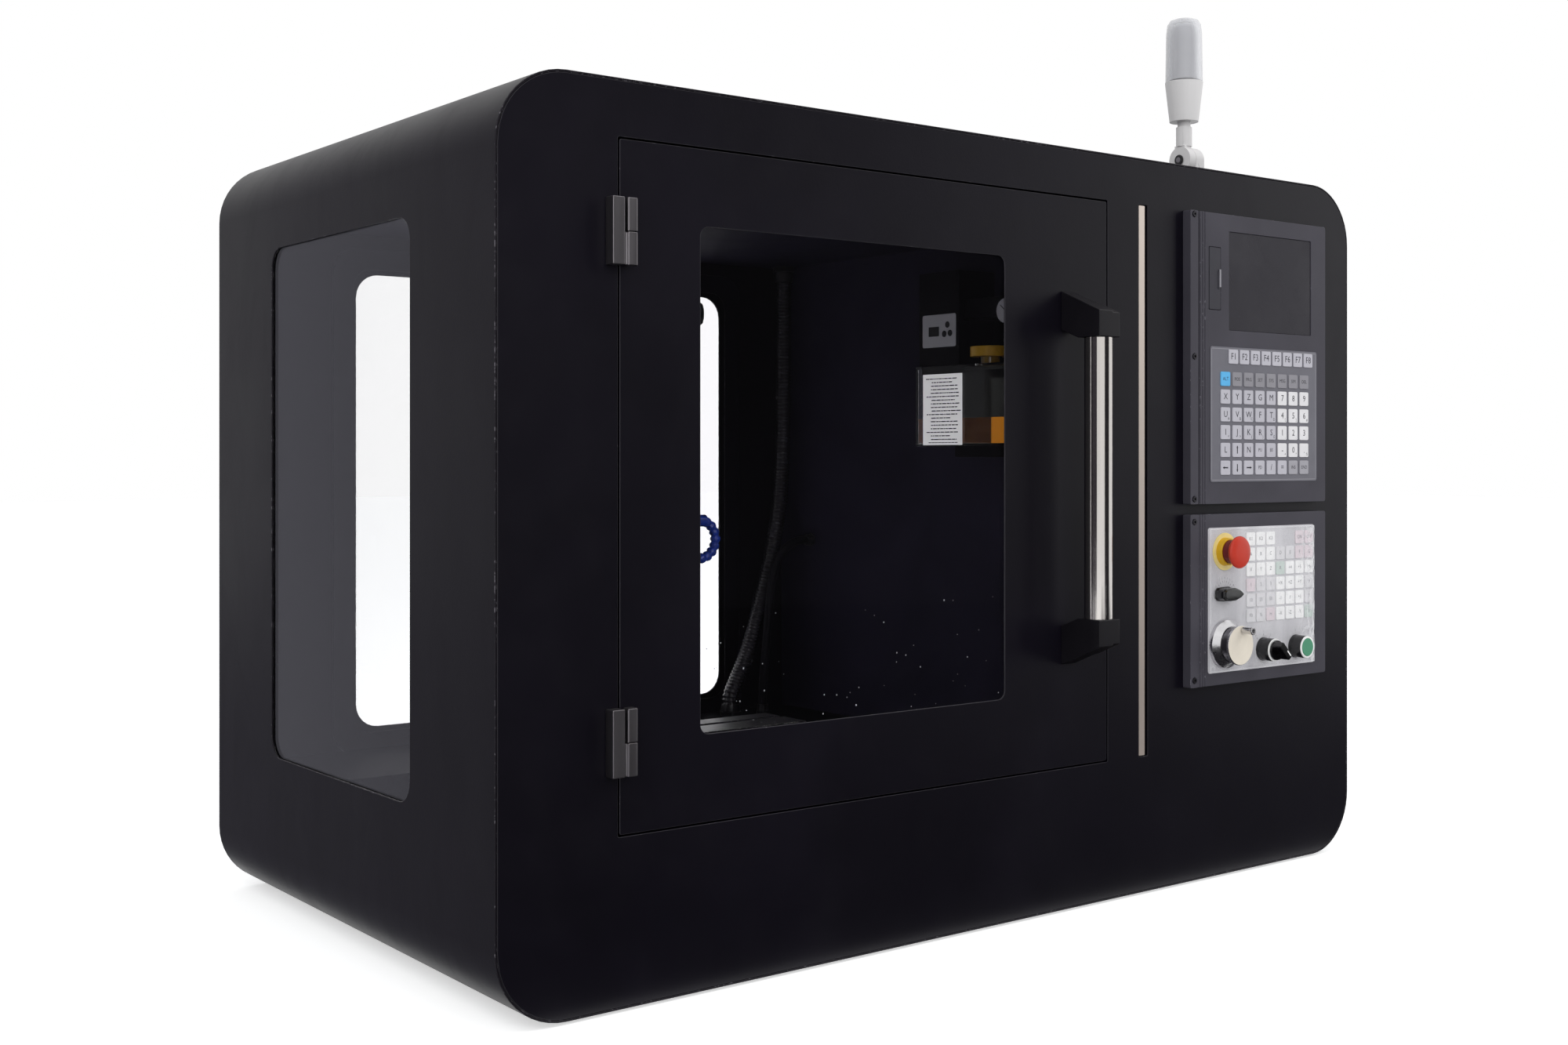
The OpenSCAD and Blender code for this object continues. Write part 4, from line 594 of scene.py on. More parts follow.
MOULDED = {  # name, colour, roughness, specular, skin, flow, dust, grains per metre
    "black_plastic": ("black_nylon", "#121015", 0.36, 0.35, 0.05, 0.12, 0.05),
    "flap_plastic": ("flap_plastic", "#35343b", 0.45, 0.35),
    "yellow_plastic": ("warning_yellow", "#d9aa14", 0.34, 0.5, 0.02),
    "stem_red": ("dark_red_stem", "#6d1118", 0.38, 0.5),
    "red_plastic": ("stop_red", "#c23523", 0.36, 0.45, 0.02, 0.06),
    "cream_plastic": ("cream_face", "#e3dacb", 0.42, 0.4, 0.02, 0.04, 0.05),
    "green_plastic": ("start_green", "#4f9272", 0.4, 0.4, 0.02, 0.05, 0.05),
    "white_plastic": ("signal_white", "#dcdada", 0.4, 0.4, 0.01, 0.01, 0.0),
    "hose_blue": ("blue_hose_beads", "#12308a", 0.3, 0.5, 0.02),
    "pump_grey": ("pump_housing", "#0f0e13", 0.6, 0.06, 0.08, 0.12, 0.1),
    "cap_yellow": ("cap_yellow", "#cf9f16", 0.45, 0.4, 0.04),
    "gland_black": ("gland_nylon", "#1b1b1e", 0.42, 0.4, 0.05, 0.12, 0.4),
    "conduit_grey": ("conduit_grey", "#26262c", 0.2, 0.6, 0.02, 0.02, 0.0),
    "hose_grey": ("hose_grey", "#16151b", 0.55, 0.1, 0.04, 0.12, 0.05),
    "seal_rubber": ("black_rubber", "#111112", 0.8, 0.25, 0.16, 0.12, 0.5, 900.0),
    "pale_yellow": ("pale_yellow_plate", "#ecd98f", 0.4, 0.4, 0.02, 0.12, 0.05),
    # bright_rim is near-white: a painted reflection on the collars' chrome rims and a painted
    # highlight on the selector's lever.
    "bright_rim": ("bright_rim", "#f2f1f0", 0.25, 0.5, 0.01, 0.12, 0.02),
    "knob_black": ("glossy_knob_black", "#0b0b0d", 0.1, 0.7, 0.01, 0.05, 0.02),
}
finishes.update({slot: moulded(*values) for slot, values in MOULDED.items()})


def strip_finish():
    """The light strip's frosted cover, with painted light: its colour grows paler towards its top.
    """
    bench = Finish("lamp_diffuser", "#b0a59c", 0.6, 0.0, 0.3)
    surface = bench.effect(moulded_skin, Grains_per_metre=1400.0)
    height = bench.wire(bench.place("SeparateXYZ"), Vector=bench.spot)["Z"]
    # Painted light: the colour turns paler with height.
    body = bench.mix(bench.span(height, 0.25, 0.85), tone("#958a83"), tone("#d3c6bc"))
    gloss = bench.span(surface["Flow"], 0.0, 1.0, 0.55, 0.65)
    return bench.done(body, gloss, surface["Height"], 0.05, 0.0003)


finishes["diffuser"] = strip_finish()
print(len(finishes), "finishes so far")

# %% [markdown]
# **Bare metals**: polished tube and chrome, ground rails and screws, and the zinc fittings. The
# brush lines run along one axis, which the stretch of the place decides.

# %% Bare metals
def bare_metal(name, colour, roughness, stretch, lines, scratch, change, dust=0.15):
    bench = Finish(name, colour, roughness, 1.0)
    brushed = bench.effect(brush_lines, bench.stretch(bench.spot, stretch), Lines_per_metre=lines)
    body = bench.mix(brushed["Streak"], tone(colour, 0.86), tone(colour))
    gloss = bench.sum_up("MULTIPLY_ADD", brushed["Streak"], change, roughness)
    body, gloss = bench.soil(body, gloss, dust, 0.6, "#807d79", 0.12)
    return bench.done(body, gloss, brushed["Height"], scratch, 0.0003)


ALONG_Z, ALONG_Y, TURNED = (1, 1, 0.01), (1, 0.03, 1), (0.03, 0.03, 1)
METALS = {  # name, colour, roughness, stretch, lines per metre, scratch, change of roughness, dust
    "stainless": ("polished_tube", "#d2cdc9", 0.07, ALONG_Z, 1500.0, 0.02, 0.05, 0.03),
    "chrome_ring": ("chrome", "#e2e1e3", 0.2, ALONG_Y, 1200.0, 0.02, 0.05, 0.02),
    "screw_steel": ("blackened_screws", "#4c4b50", 0.35, (1, 0.05, 1), 1500.0, 0.05, 0.1),
    "hinge_metal": ("hinge_zinc", "#9b979b", 0.36, (1, 1, 0.04), 700.0, 0.05, 0.08, 0.1),
    "rail_steel": ("ground_steel", "#b3b5b8", 0.22, ALONG_Y, 1200.0, 0.03, 0.1, 0.1),
    "spindle_steel": ("spindle_steel", "#c2c4c6", 0.16, TURNED, 1500.0, 0.03, 0.06),
    "electrics_grey": ("module_aluminium", "#a2a29f", 0.45, ALONG_Y, 700.0, 0.05, 0.1),
    "dark_chrome": ("dark_chrome", "#8b898d", 0.22, ALONG_Y, 1200.0, 0.02, 0.05, 0.05),
}
finishes.update({slot: bare_metal(*values) for slot, values in METALS.items()})
print(len(finishes), "finishes so far")

# %% [markdown]
# **Cast iron** carries the mill: the castings are filled and sprayed a warm grey, with the slight
# waviness of a sand mould under the paint. Its table is darker from oil. The motors are finned
# dark castings of a finer kind.

# %% Painted castings
def casting(name, colour, roughness, waves, grains, dust):
    bench = Finish(name, colour, roughness, 0.0, 0.4)
    sand = bench.noise(bench.spot, waves, 3.0, 0.55)
    grain = bench.effect(coat_grain, Grains_per_metre=grains)
    worn = bench.effect(edge_wear, Edge=bench.mark("edge"), Amount=0.5)
    body = bench.mix(grain["Tone"], tone(colour, 0.88), tone(colour))
    body, gloss = bench.soil(body, roughness, dust, 0.5, "#8a8782", 0.2)
    body = bench.mix(worn["Bare"], body, tone("#c0bdb8"))
    height = bench.sum_up("MULTIPLY_ADD", grain["Height"], 0.3, sand)
    return bench.done(body, gloss, height, 0.25, 0.0012)


finishes["casting"] = casting("painted_iron", "#a9a69f", 0.5, 90.0, 420.0, 0.5)
finishes["table_iron"] = casting("oiled_table_iron", "#37363b", 0.34, 90.0, 420.0, 0.2)
finishes["motor_black"] = casting("motor_black", "#1c1c1f", 0.42, 160.0, 600.0, 0.35)
print("castings ready")

# %% [markdown]
# **Glazing**. The door's window is thin acrylic with the faintest tint, so that the chamber shows
# through it. The side, rear and roof panes are clear polycarbonate with a faint haze of fine
# wiping scratches. Smears and dust lie on both as small changes of roughness.

# %% Glazing
def glazing(name, colour, roughness, haze, smears, grease):
    bench = Finish(name, colour, roughness)
    bench.wire(bench.shader, Transmission_Weight=1.0, IOR=1.45)
    wiped = bench.noise(bench.stretch(bench.spot, (1, 1, 0.3)), 240.0, 4.0, 0.7, 0.8)
    body, gloss = bench.soil(tone(colour), roughness, haze, smears, grease, 0.25)
    return bench.done(body, gloss, wiped, 0.003, 0.0003)


finishes["door_glass"] = glazing("smoked_acrylic", "#fbfafd", 0.0, 0.0, 0.04, "#e0dfe4")
finishes["pane"] = glazing("clear_pane", "#ffffff", 0.0, 0.12, 0.12, "#e5e6ec")
finishes["clear_plastic"] = glazing("clear_reservoir", "#f0f2f0", 0.04, 0.15, 0.2, "#b9bab4")
print("glazing ready")

# %% [markdown]
# **Films**. The display is a dark glossy film over a blank screen. The key overlay is a printed
# polyester sheet with a fine texture, and each colour of key and of print is a film of its own.
# The membrane plate is silver brushed sheet, and the oiler carries a card and a label.

# %% Films
def film(name, colour, roughness, specular, skin, grains, dust=0.2):
    bench = Finish(name, colour, roughness, 0.0, specular)
    surface = bench.effect(moulded_skin, Grains_per_metre=grains)
    body = bench.mix(surface["Flow"], tone(colour, 0.93), tone(colour))
    body, gloss = bench.soil(body, roughness, dust, 0.7, "#a9a8ab", 0.25)
    return bench.done(body, gloss, surface["Height"], skin, 0.0002)


FILMS = [  # name, colour, roughness, specular, skin, grains per metre, dust
    ("screen_film", "#26242b", 0.22, 0.2, 0.02, 900.0),
    ("overlay_film", "#6b6a72", 0.4, 0.4, 0.06, 1800.0),
    ("key_light", "#bdbbc3", 0.42, 0.35, 0.06, 1800.0),
    ("key_white", "#e4e2e4", 0.4, 0.35, 0.05, 1800.0),
    ("key_grey", "#8e8c92", 0.42, 0.35, 0.06, 1800.0),
    ("key_blue", "#5cb2e6", 0.4, 0.35, 0.05, 1800.0),
    ("key_tinted", "#a3a1a8", 0.42, 0.35, 0.05, 1800.0),
    ("dark_print", "#2d2c34", 0.5, 0.3, 0.05, 1800.0),
    ("low_key", "#dddbde", 0.35, 0.4, 0.03, 1500.0, 0.03),
    ("low_key_white", "#f6f5f5", 0.35, 0.4, 0.03, 1500.0, 0.03),
    ("low_key_pink", "#e0d3d9", 0.35, 0.4, 0.03, 1500.0, 0.03),
    ("low_key_green", "#c8d4ce", 0.35, 0.4, 0.03, 1500.0, 0.03),
    ("faint_print", "#77757e", 0.5, 0.3, 0.05, 1500.0),
    ("card_white", "#f6f5f7", 0.5, 0.3, 0.05, 900.0),
    ("card_black", "#17171b", 0.5, 0.3, 0.05, 900.0),
    ("label_grey", "#bdbcc3", 0.4, 0.4, 0.05, 900.0),
    ("coolant_drop", "#b9bcc2", 0.08, 0.5, 0.01, 900.0, 0.0),
]
finishes.update({values[0]: film(*values) for values in FILMS})
finishes["screen"] = finishes["screen_film"]
# Painted light: the operating card's white glows a little, though it is no lamp.
bench = Bench(finishes["card_white"].node_tree)
bench.wire(bench.nodes["Principled BSDF"], Emission_Color=(1, 1, 1, 1), Emission_Strength=0.35)
print(len(FILMS), "films")

# %% [markdown]
# ** Single finishes**. The signal light is a clear cup over a frosted core, and the cup looks
# denser at its rim than in its middle, where its colour also turns grey as a painted shade of the
# wall seen edge-on. The silver plate has light and dark upright bands. The loose film over it is
# nearly clear and turns whiter along its creases, partly as its own whitening and partly as a
# painted highlight.

# %% Lens, core, silver plate and loose film
def lens_finish():
    bench = Finish("clear_lens", "#f4f4f7", 0.05, 0.0, 0.8)
    ripples = bench.noise(bench.stretch(bench.spot, (1, 1, 0.1)), 60.0)
    facing = bench.wire(bench.place("LayerWeight"), Blend=0.35)["Facing"]
    bench.wire(bench.shader, Alpha=bench.span(facing, 0.1, 0.9, 0.05, 0.8))
    # Painted shade: the colour turns grey towards the rim, where the wall is seen edge-on.
    body = bench.mix(bench.span(facing, 0.55, 0.9), tone("#f4f4f7"), tone("#7d7d86"))
    return bench.done(body, bench.span(ripples, 0.3, 0.7, 0.03, 0.09), ripples, 0.01, 0.0002)


def core_finish():
    bench = Finish("frosted_core", "#cfcfd4", 0.5, 0.0, 0.3)
    surface = bench.effect(moulded_skin, Grains_per_metre=900.0)
    body = bench.mix(surface["Flow"], tone("#d2d2d7"), tone("#d9d9dd"))
    return bench.done(body, None, surface["Height"], 0.02, 0.0002)


def silver_plate_finish():
    bench = Finish("brushed_silver_plate", "#b9b6bb", 0.38, 0.1)
    bands = bench.noise(bench.stretch(bench.spot, (1, 1, 0.05)), 34.0, 2.0, 0.45)
    fine = bench.noise(bench.stretch(bench.spot, (1, 1, 0.02)), 1400.0)
    body = bench.mix(bench.span(bands, 0.35, 0.65), tone("#c3c1c6"), tone("#d6d4d8"))
    body = bench.mix(bench.span(fine, 0.3, 0.7, 0.0, 0.06), body, tone("#8a878d"))
    return bench.done(body, bench.span(fine, 0.3, 0.7, 0.3, 0.44), fine, 0.05, 0.0002)


def clear_film_finish():
    bench = Finish("clear_film", "#f4f4f6", 0.12, 0.0, 0.8)
    ripple = bench.noise(bench.stretch(bench.spot, (1, 1, 0.5)), 130.0, 4.0, 0.6, 0.8)
    cloud = bench.span(ripple, 0.4, 0.75, 0.05, 0.11)
    # Partly painted highlight: the alpha whitens the film along its creases and rim.
    bench.wire(bench.shader, Alpha=bench.sum_up("MULTIPLY_ADD", bench.mark("crease_and_glint"), 0.8, cloud))
    return bench.done(None, bench.span(ripple, 0.3, 0.7, 0.08, 0.2), ripple, 0.12, 0.0006)


finishes["lens"] = lens_finish()
finishes["frosted_core"] = core_finish()
finishes["silver_film"] = silver_plate_finish()
finishes["clear_film"] = clear_film_finish()
missing = sorted(set(slot_of_node.values()) - set(finishes))
print(len(finishes), "finishes; without one:", missing)

# %% [markdown]
# ## Softened edges
# A real pressing, moulding or casting has no razor edges: a bevel of a millimetre is what catches
# the light. Each node of the frame is copied, its loose triangles are merged into whole faces, and
# a bevel rounds the sharp edges. The bevel marks its own faces through a material index, and the
# points inside the rounding get the value 1 in an attribute called edge, which the paints read for
# their wear.

# %% Dressing a node
WELD = 0.02 * MM  # points nearer than this are one
FLAT_ANGLE = math.radians(0.5)  # faces that bend less than this are one


def pick_nothing():
    bpy.ops.object.select_all(action="DESELECT")


def pick(*pieces):
    pick_nothing()
    for piece in pieces:
        piece.select_set(True)
    bpy.context.view_layer.objects.active = pieces[0]


def modify(piece, name, kind, **settings):
    """Gives a piece a modifier with its settings and applies it."""
    pick(piece)
    modifier = piece.modifiers.new(name, kind)
    for key, value in settings.items():
        setattr(modifier, key, value)
    bpy.ops.object.modifier_apply(modifier=name)


def copy_of_node(node, name):
    """A merged copy of a node's mesh, whose flat sides are whole faces again."""
    piece = bpy.data.objects.new(name, frame["nodes"][node].data.copy())
    bpy.context.collection.objects.link(piece)
    pick(piece)
    bpy.ops.object.mode_set(mode="EDIT")
    bpy.ops.mesh.select_all(action="SELECT")
    bpy.ops.mesh.remove_doubles(threshold=WELD)
    bpy.ops.mesh.dissolve_limited(angle_limit=FLAT_ANGLE)
    bpy.ops.object.mode_set(mode="OBJECT")
    piece.data.materials.clear()
    return piece


def round_edges(piece, width, segments=2, angle=32):
    """Bevels the sharp edges by a width in mm and marks the rounding in the attribute edge."""
    flat, rounded = 0, 1
    mesh = piece.data
    for face in mesh.polygons:
        face.material_index = flat
    while len(mesh.materials) < 2:
        mesh.materials.append(None)
    modify(piece, "soft_edges", "BEVEL", width=width * MM, segments=segments,
           limit_method="ANGLE", angle_limit=math.radians(angle), use_clamp_overlap=False,
           material=rounded, harden_normals=False)
    mesh = piece.data
    inside = [1.0] * len(mesh.vertices)
    for face in mesh.polygons:
        if face.material_index != rounded:
            for v in face.vertices:
                inside[v] = 0.0
        face.material_index = flat
    mark = mesh.attributes.get("edge") or mesh.attributes.new("edge", "FLOAT", "POINT")
    mark.data.foreach_set("value", inside)
    mesh.materials.clear()


def finish_piece(piece, slot, body, *stands_for, smooth=34, look=None):
    """Gives a piece the finish of its slot or look, smooth shading with flat faces kept flat and
    its body, and hides the nodes that it stands for.
    """
    piece.data.materials.clear()
    piece.data.materials.append(finishes[look or slot])
    pick(piece)
    bpy.ops.object.shade_smooth_by_angle(angle=math.radians(smooth))
    modify(piece, "flat_faces_stay_flat", "WEIGHTED_NORMAL", keep_sharp=True)
    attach(piece, body)
    if stands_for:
        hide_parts(*stands_for)
    pick_nothing()
    return piece


def dress(node, name, width, segments=2, angle=32, look=None):
    """A softened copy of a node that takes its place."""
    piece = copy_of_node(node, name)
    round_edges(piece, width, segments, angle)
    return finish_piece(piece, slot_of_node[node], body_of_node[node], node, look=look)


print("dress ready")

# %% Nodes that only need soft edges
SOFT_EDGES = [
    ("wrap_shell", "casing_wrap", 0.9), ("front_panel", "casing_front", 0.6),
    ("rear_panel", "casing_back", 0.5), ("feet", "levelling_feet", 0.8),
    ("chamber_liner", "chamber_walls", 0.5), ("pane_frames", "pane_frames", 0.5),
    ("chip_tray", "folded_chip_tray", 0.5), ("drain_grille", "drain_grating", 0.4),
    ("strip_diffuser", "light_strip", 0.5), ("hinge_leaves_fixed", "hinge_halves_fixed", 1.0),
    ("door_seal", "door_gasket", 0.5), ("door_panel", "door_skin", 0.8),
    ("hinge_leaves_door", "hinge_halves_door", 1.0), ("door_pane_frame", "door_window_frame", 0.5),
    ("handle_brackets", "handle_feet", 1.0), ("upper_panel_housing", "upper_housing", 0.5),
    ("lower_panel_housing", "lower_housing", 0.5), ("base_casting", "mill_base", 2.5),
    ("column", "mill_column", 2.5), ("linear_rails", "mill_rails", 0.5),
    ("saddle", "mill_saddle", 1.5), ("table", "mill_table", 0.8),
    ("axis_motors", "mill_motors", 0.8), ("x_motor", "mill_side_motor", 0.8),
    ("head_casting", "mill_head", 2.0), ("spindle_motor", "mill_spindle_motor", 0.5),
    ("oiler_pump", "oiler_housing", 1.0), ("electrics", "electric_modules", 0.4),
]
OTHER_FINISH = {"table": "table_iron", "rear_panel": "wrap_paint"}
for node, name, width in SOFT_EDGES:
    piece = dress(node, name, width, look=OTHER_FINISH.get(node))
    print(name, len(piece.data.polygons), end="; ")
conduit.data.materials.append(finishes["conduit_grey"])
small_hose.data.materials.append(finishes["hose_grey"])
print("hoses coloured")

# %% [markdown]
# ## Helpers for the small pieces
# Some pieces show several finishes on one moulding, such as a printed key sheet or a turned knob
# with a bright rim. Faces are picked by where they lie, as one would click on them, and get
# another material. Printed marks are flat letters made into a mesh, set a hair proud of the face.

# %% Picking faces and printing marks
def tint(piece, finish_names, rule):
    """Gives faces the finish whose number, from 1, the rule makes of their middle and normal."""
    first = len(piece.data.materials)
    for name in finish_names:
        piece.data.materials.append(finishes[name])
    count = 0
    for face in piece.data.polygons:
        choice = rule(mm(face.center), face.normal)
        if choice:
            face.material_index = first + choice - 1
            count += 1
    return count


def settle(piece):
    """Moves an object's place into its mesh."""
    bpy.context.view_layer.update()
    piece.data.transform(piece.matrix_world)
    piece.matrix_world = Matrix.Identity(4)
    return piece


def upright_text(word, x, z, y, size, turn=0.0):
    """A flat word that faces the front, its middle at x, z and its face at depth y."""
    pick_nothing()
    bpy.ops.object.text_add()
    letters = bpy.context.object
    letters.data.body = word
    letters.data.size = size * MM
    letters.data.align_x = "CENTER"
    letters.data.align_y = "CENTER"
    letters.data.resolution_u = 2
    pick(letters)
    bpy.ops.object.convert(target="MESH")
    letters.data.transform(
        Matrix.Translation(at(x, y, z)) @ Matrix.Rotation(math.radians(90), 4, "X")
        @ Matrix.Rotation(math.radians(turn), 4, "Z"))
    return letters


def bar(name, x, z, y, soft=0.0, segments=2):
    """A small block from its three pairs of limits in mm, with its edges softened."""
    pick_nothing()
    low, high = at(x[0], y[0], z[0]), at(x[1], y[1], z[1])
    bpy.ops.mesh.primitive_cube_add(size=1, location=(low + high) / 2)
    piece = bpy.context.object
    piece.name = name
    piece.scale = high - low
    settle(piece)
    if soft:
        modify(piece, "soft", "BEVEL", width=soft * MM, segments=segments, limit_method="NONE")
    return piece


def turned_bar(name, x, z, y, angle, axis, centre, soft=0.0):
    """A bar drawn round the casing's corner, turned there and carried to a centre."""
    piece = bar(name, x, z, y, soft)
    piece.data.transform(
        Matrix.Translation(centre) @ Matrix.Rotation(angle, 4, axis)
        @ Matrix.Translation(-at(0, 0, 0)))
    return piece


def disc(name, centre, radius, depth, sides=24):
    """A round plate that faces left, from its middle, its radius and its depth in mm."""
    pick_nothing()
    bpy.ops.mesh.primitive_cylinder_add(
        vertices=sides, radius=radius * MM, depth=depth * MM, location=at(*centre),
        rotation=(0, math.radians(90), 0))
    piece = settle(bpy.context.object)
    piece.name = name
    return piece


def joined(name, pieces):
    """One piece from several."""
    pick(*pieces)
    bpy.ops.object.join()
    piece = bpy.context.object
    piece.name = name
    pick_nothing()
    return piece


print("helpers for small pieces ready")

# %% [markdown]
# ## The upper control panel
# The key sheet is one pressed film: a mid-grey field with raised keys, printed in light grey,
# white, darker grey and one blue. The keys are already in the frame's shape, so their faces are
# coloured where they stand: a face belongs to a key if its middle is in front of the field.

# %% Key colours
key_sheet = dress("key_overlay", "key_sheet", 0.3)
(sheet_x, sheet_y, sheet_z), (sheet_right, _, sheet_top) = mm_box("key_overlay")
FIELD_Y = sheet_y + 1.2
FIRST_X, FIRST_Z, PITCH_X, PITCH_Z = sheet_x + 19, sheet_z + 137, 22.7, 22.1
FLUSH = 0.05  # how far prints stand proud, and how near a face counts as in a plane


def upper_key_colour(place, normal):
    x, y, z = place
    if y > FIELD_Y - FLUSH:
        return 0
    if z > FIRST_Z + 4:
        return 1
    column, row = int((x - FIRST_X + 2) // PITCH_X), int((FIRST_Z - z + 2) // PITCH_Z)
    if row == 0:
        return 4 if column == 0 else 3
    if row == 5 and column >= 6:
        return 5
    return 2 if column >= 5 and row < 5 else 1


count = tint(key_sheet, ["key_light", "key_white", "key_grey", "key_blue", "key_tinted"],
             upper_key_colour)
print("key sheet:", count, "faces coloured")

# %% [markdown]
# The legends are plain letters and digits, as on any such keyboard, with four cursor arrows drawn
# as bars. They are printed 0.05 mm proud of the keys.

# %% Legends on the upper keys
ROWS = [row.split() for row in (
    "ALT POS PRG SET SYS MSG SIM DEL", "X Y Z G M 7 8 9", "U V W F T 4 5 6", "I J K R S 1 2 3",
    "L up N PU BS - 0 .", "left down right PD / = INS END",
)]
SMALL = {2: "ABC D[]#", 3: "<>()E,;:", 4: "     +*%"}  # one letter for each column of a row
CURSORS = {  # turn of the tip, its shift, width and height of the shaft
    "left": (90, (-2.4, 0), (9, 1.6)), "right": (-90, (2.4, 0), (9, 1.6)),
    "up": (0, (0, 2.4), (1.6, 9)), "down": (180, (0, -2.4), (1.6, 9)),
}
F_KEY_X, F_KEY_Z, F_KEY_PITCH = sheet_x + 43.7, sheet_z + 156.2, 21.7
print_y = sheet_y - FLUSH
words = [upright_text(f"F{i + 1}", F_KEY_X + F_KEY_PITCH * i, F_KEY_Z, print_y, 11.5)
         for i in range(8)]
for row, labels in enumerate(ROWS):
    for column, label in enumerate(labels):
        x, z = FIRST_X + PITCH_X * column + 9, FIRST_Z - PITCH_Z * row - 8.8
        if label in CURSORS:
            turn, (along, up), (wide, tall) = CURSORS[label]
            words.append(bar("cursor_bar", (x - wide / 2, x + wide / 2),
                             (z - tall / 2, z + tall / 2), (print_y, print_y + FLUSH)))
            words.append(upright_text("^", x + along, z + up, print_y, 8, turn))
        else:
            words.append(upright_text(label, x, z, print_y, 11 if len(label) == 1 else 6.2))
        if SMALL.get(row, " " * 8)[column] != " ":
            words.append(upright_text(SMALL[row][column], x + 5.6, z - 5.2, print_y, 5.2))
LINE, MARGIN = 0.9, 2
left, right = sheet_x + MARGIN, sheet_right - MARGIN
low, high = sheet_z + MARGIN, sheet_top - MARGIN
border_line = joined("printed_border", [
    bar("border_line", x, z, (FIELD_Y - 0.08, FIELD_Y), 0.02, 1)
    for x, z in (((left, left + LINE), (low, high)), ((right - LINE, right), (low, high)),
                 ((left, right), (low, low + LINE)), ((left, right), (high - LINE, high)))])
finish_piece(border_line, "overlay_film", "machine", look="key_grey")
legends = joined("key_legends", words)
finish_piece(legends, "overlay_film", "machine", look="dark_print")
print("legends:", len(legends.data.polygons), "faces")

# %% [markdown]
# The screen lies a little behind its frame under a dark film. The service flap to its left has a
# pale finger lip at its free edge.

# %% Screen, flap and its lip
dress("display_screen", "screen_window", 0.4)
dress("usb_flap", "service_flap", 0.5)
(_, flap_front, _), (flap_right, _, flap_top) = mm_box("usb_flap")
lip = bar("flap_lip", (flap_right - 3.4, flap_right - 0.4), (flap_top - 51, flap_top - 29),
          (flap_front - 0.5, flap_front + 0.5), 0.3)
finish_piece(lip, "flap_plastic", "usb_flap_body", look="key_grey")
print("lip on the flap")

# %% [markdown]
# ## The lower control panel
# The lower plate is silver with pale printed keys, and broad light and dark upright bands run
# through its colour, seen through the film. The switches stand on it: a stop button on a yellow
# plate, a dial, a handwheel, a selector and a green push button.

# %% Silver plate
key_plate = dress("membrane_plate", "silver_key_plate", 0.25)
(plate_x, plate_y, plate_z), (plate_right, _, plate_top) = mm_box("membrane_plate")
PLATE_Y = plate_y + 1.2
LOW_X, LOW_Z = plate_x + 73.5, plate_z + 172.3
LOW_PITCH_X, LOW_PITCH_Z = 19.9, 19.3


def lower_key_colour(place, normal):
    x, y, z = place
    if y > PLATE_Y - FLUSH:
        return 0
    column = int((x - LOW_X + 1.5) // LOW_PITCH_X)
    row = int((LOW_Z - z + 1.5) // LOW_PITCH_Z)
    if row == 0:
        return 2 if column < 3 else 3
    if (row, column) in ((2, 3), (5, 6)):
        return 4
    if column >= 5 and row == 1 or (row, column) in ((3, 0), (5, 2)):
        return 3
    if column in (0, 1, 2) and row in (1, 2) or column in (3, 4, 5) and row >= 3 or row == 2:
        return 2
    return 1


count = tint(key_plate, ["low_key", "low_key_white", "low_key_pink", "low_key_green"],
             lower_key_colour)
print("lower keys:", count, "faces coloured")

# %% Legends on the lower keys
words = []
LOW_ROWS = [row.split(",") for row in (
    "K1,K2,K3,,,ON,OFF", "A,B,C,D,E,F,G", "X,Y,Z,R,+4,+5,+6", "1,2,3,+X,+Z,+Y,9",
    "10,25,50,-1,//,+1,7", "F0,%,H,-X,-Z,-Y,S",
)]
for row, labels in enumerate(LOW_ROWS):
    for column, label in enumerate(labels):
        if label:
            x = LOW_X + LOW_PITCH_X * column + 8.5
            z = LOW_Z - LOW_PITCH_Z * row - 8.2
            words.append(upright_text(label, x, z, plate_y - FLUSH, 6.4))


def dial_marks(centre, radius, first, last, labels):
    """Short radial bars and their labels round a dial, from one bearing to another."""
    for i, label in enumerate(labels):
        angle = math.radians(first + (last - first) * i / (len(labels) - 1))
        away = Vector((math.sin(angle), 0, math.cos(angle)))
        middle = at(centre[0], PLATE_Y - 0.08, centre[1]) + away * radius * MM
        words.append(turned_bar("dial_mark", (-0.35, 0.35), (-1.3, 1.3), (0, 0.08),
                                angle, "Y", middle))
        far = away * (radius + 4.2)
        words.append(upright_text(label, centre[0] + far.x, centre[1] + far.z,
                                  PLATE_Y - FLUSH, 4.0))


dial_low, dial_high = mm_box("mode_knob")
dial_at = (dial_low[0] + 20, (dial_low[2] + dial_high[2]) / 2)
dial_marks(dial_at, 15.5, -60, 60, "012345678")
(rings_left, collar_front, rings_low), (rings_right, _, _) = mm_box("switch_rings")
RING_RADIUS = 15
ring_left = (rings_left + RING_RADIUS, rings_low + RING_RADIUS)
ring_right = (rings_right - RING_RADIUS, rings_low + RING_RADIUS)
dial_marks(ring_left, 19, -40, 40, "012")
words.append(upright_text("I", ring_right[0], ring_right[1] + 20, PLATE_Y - FLUSH, 6))
low_legends = joined("faint_legends", words)
finish_piece(low_legends, "silver_film", "machine", look="faint_print")
print("faint legends:", len(low_legends.data.polygons), "faces; dial at", dial_at)
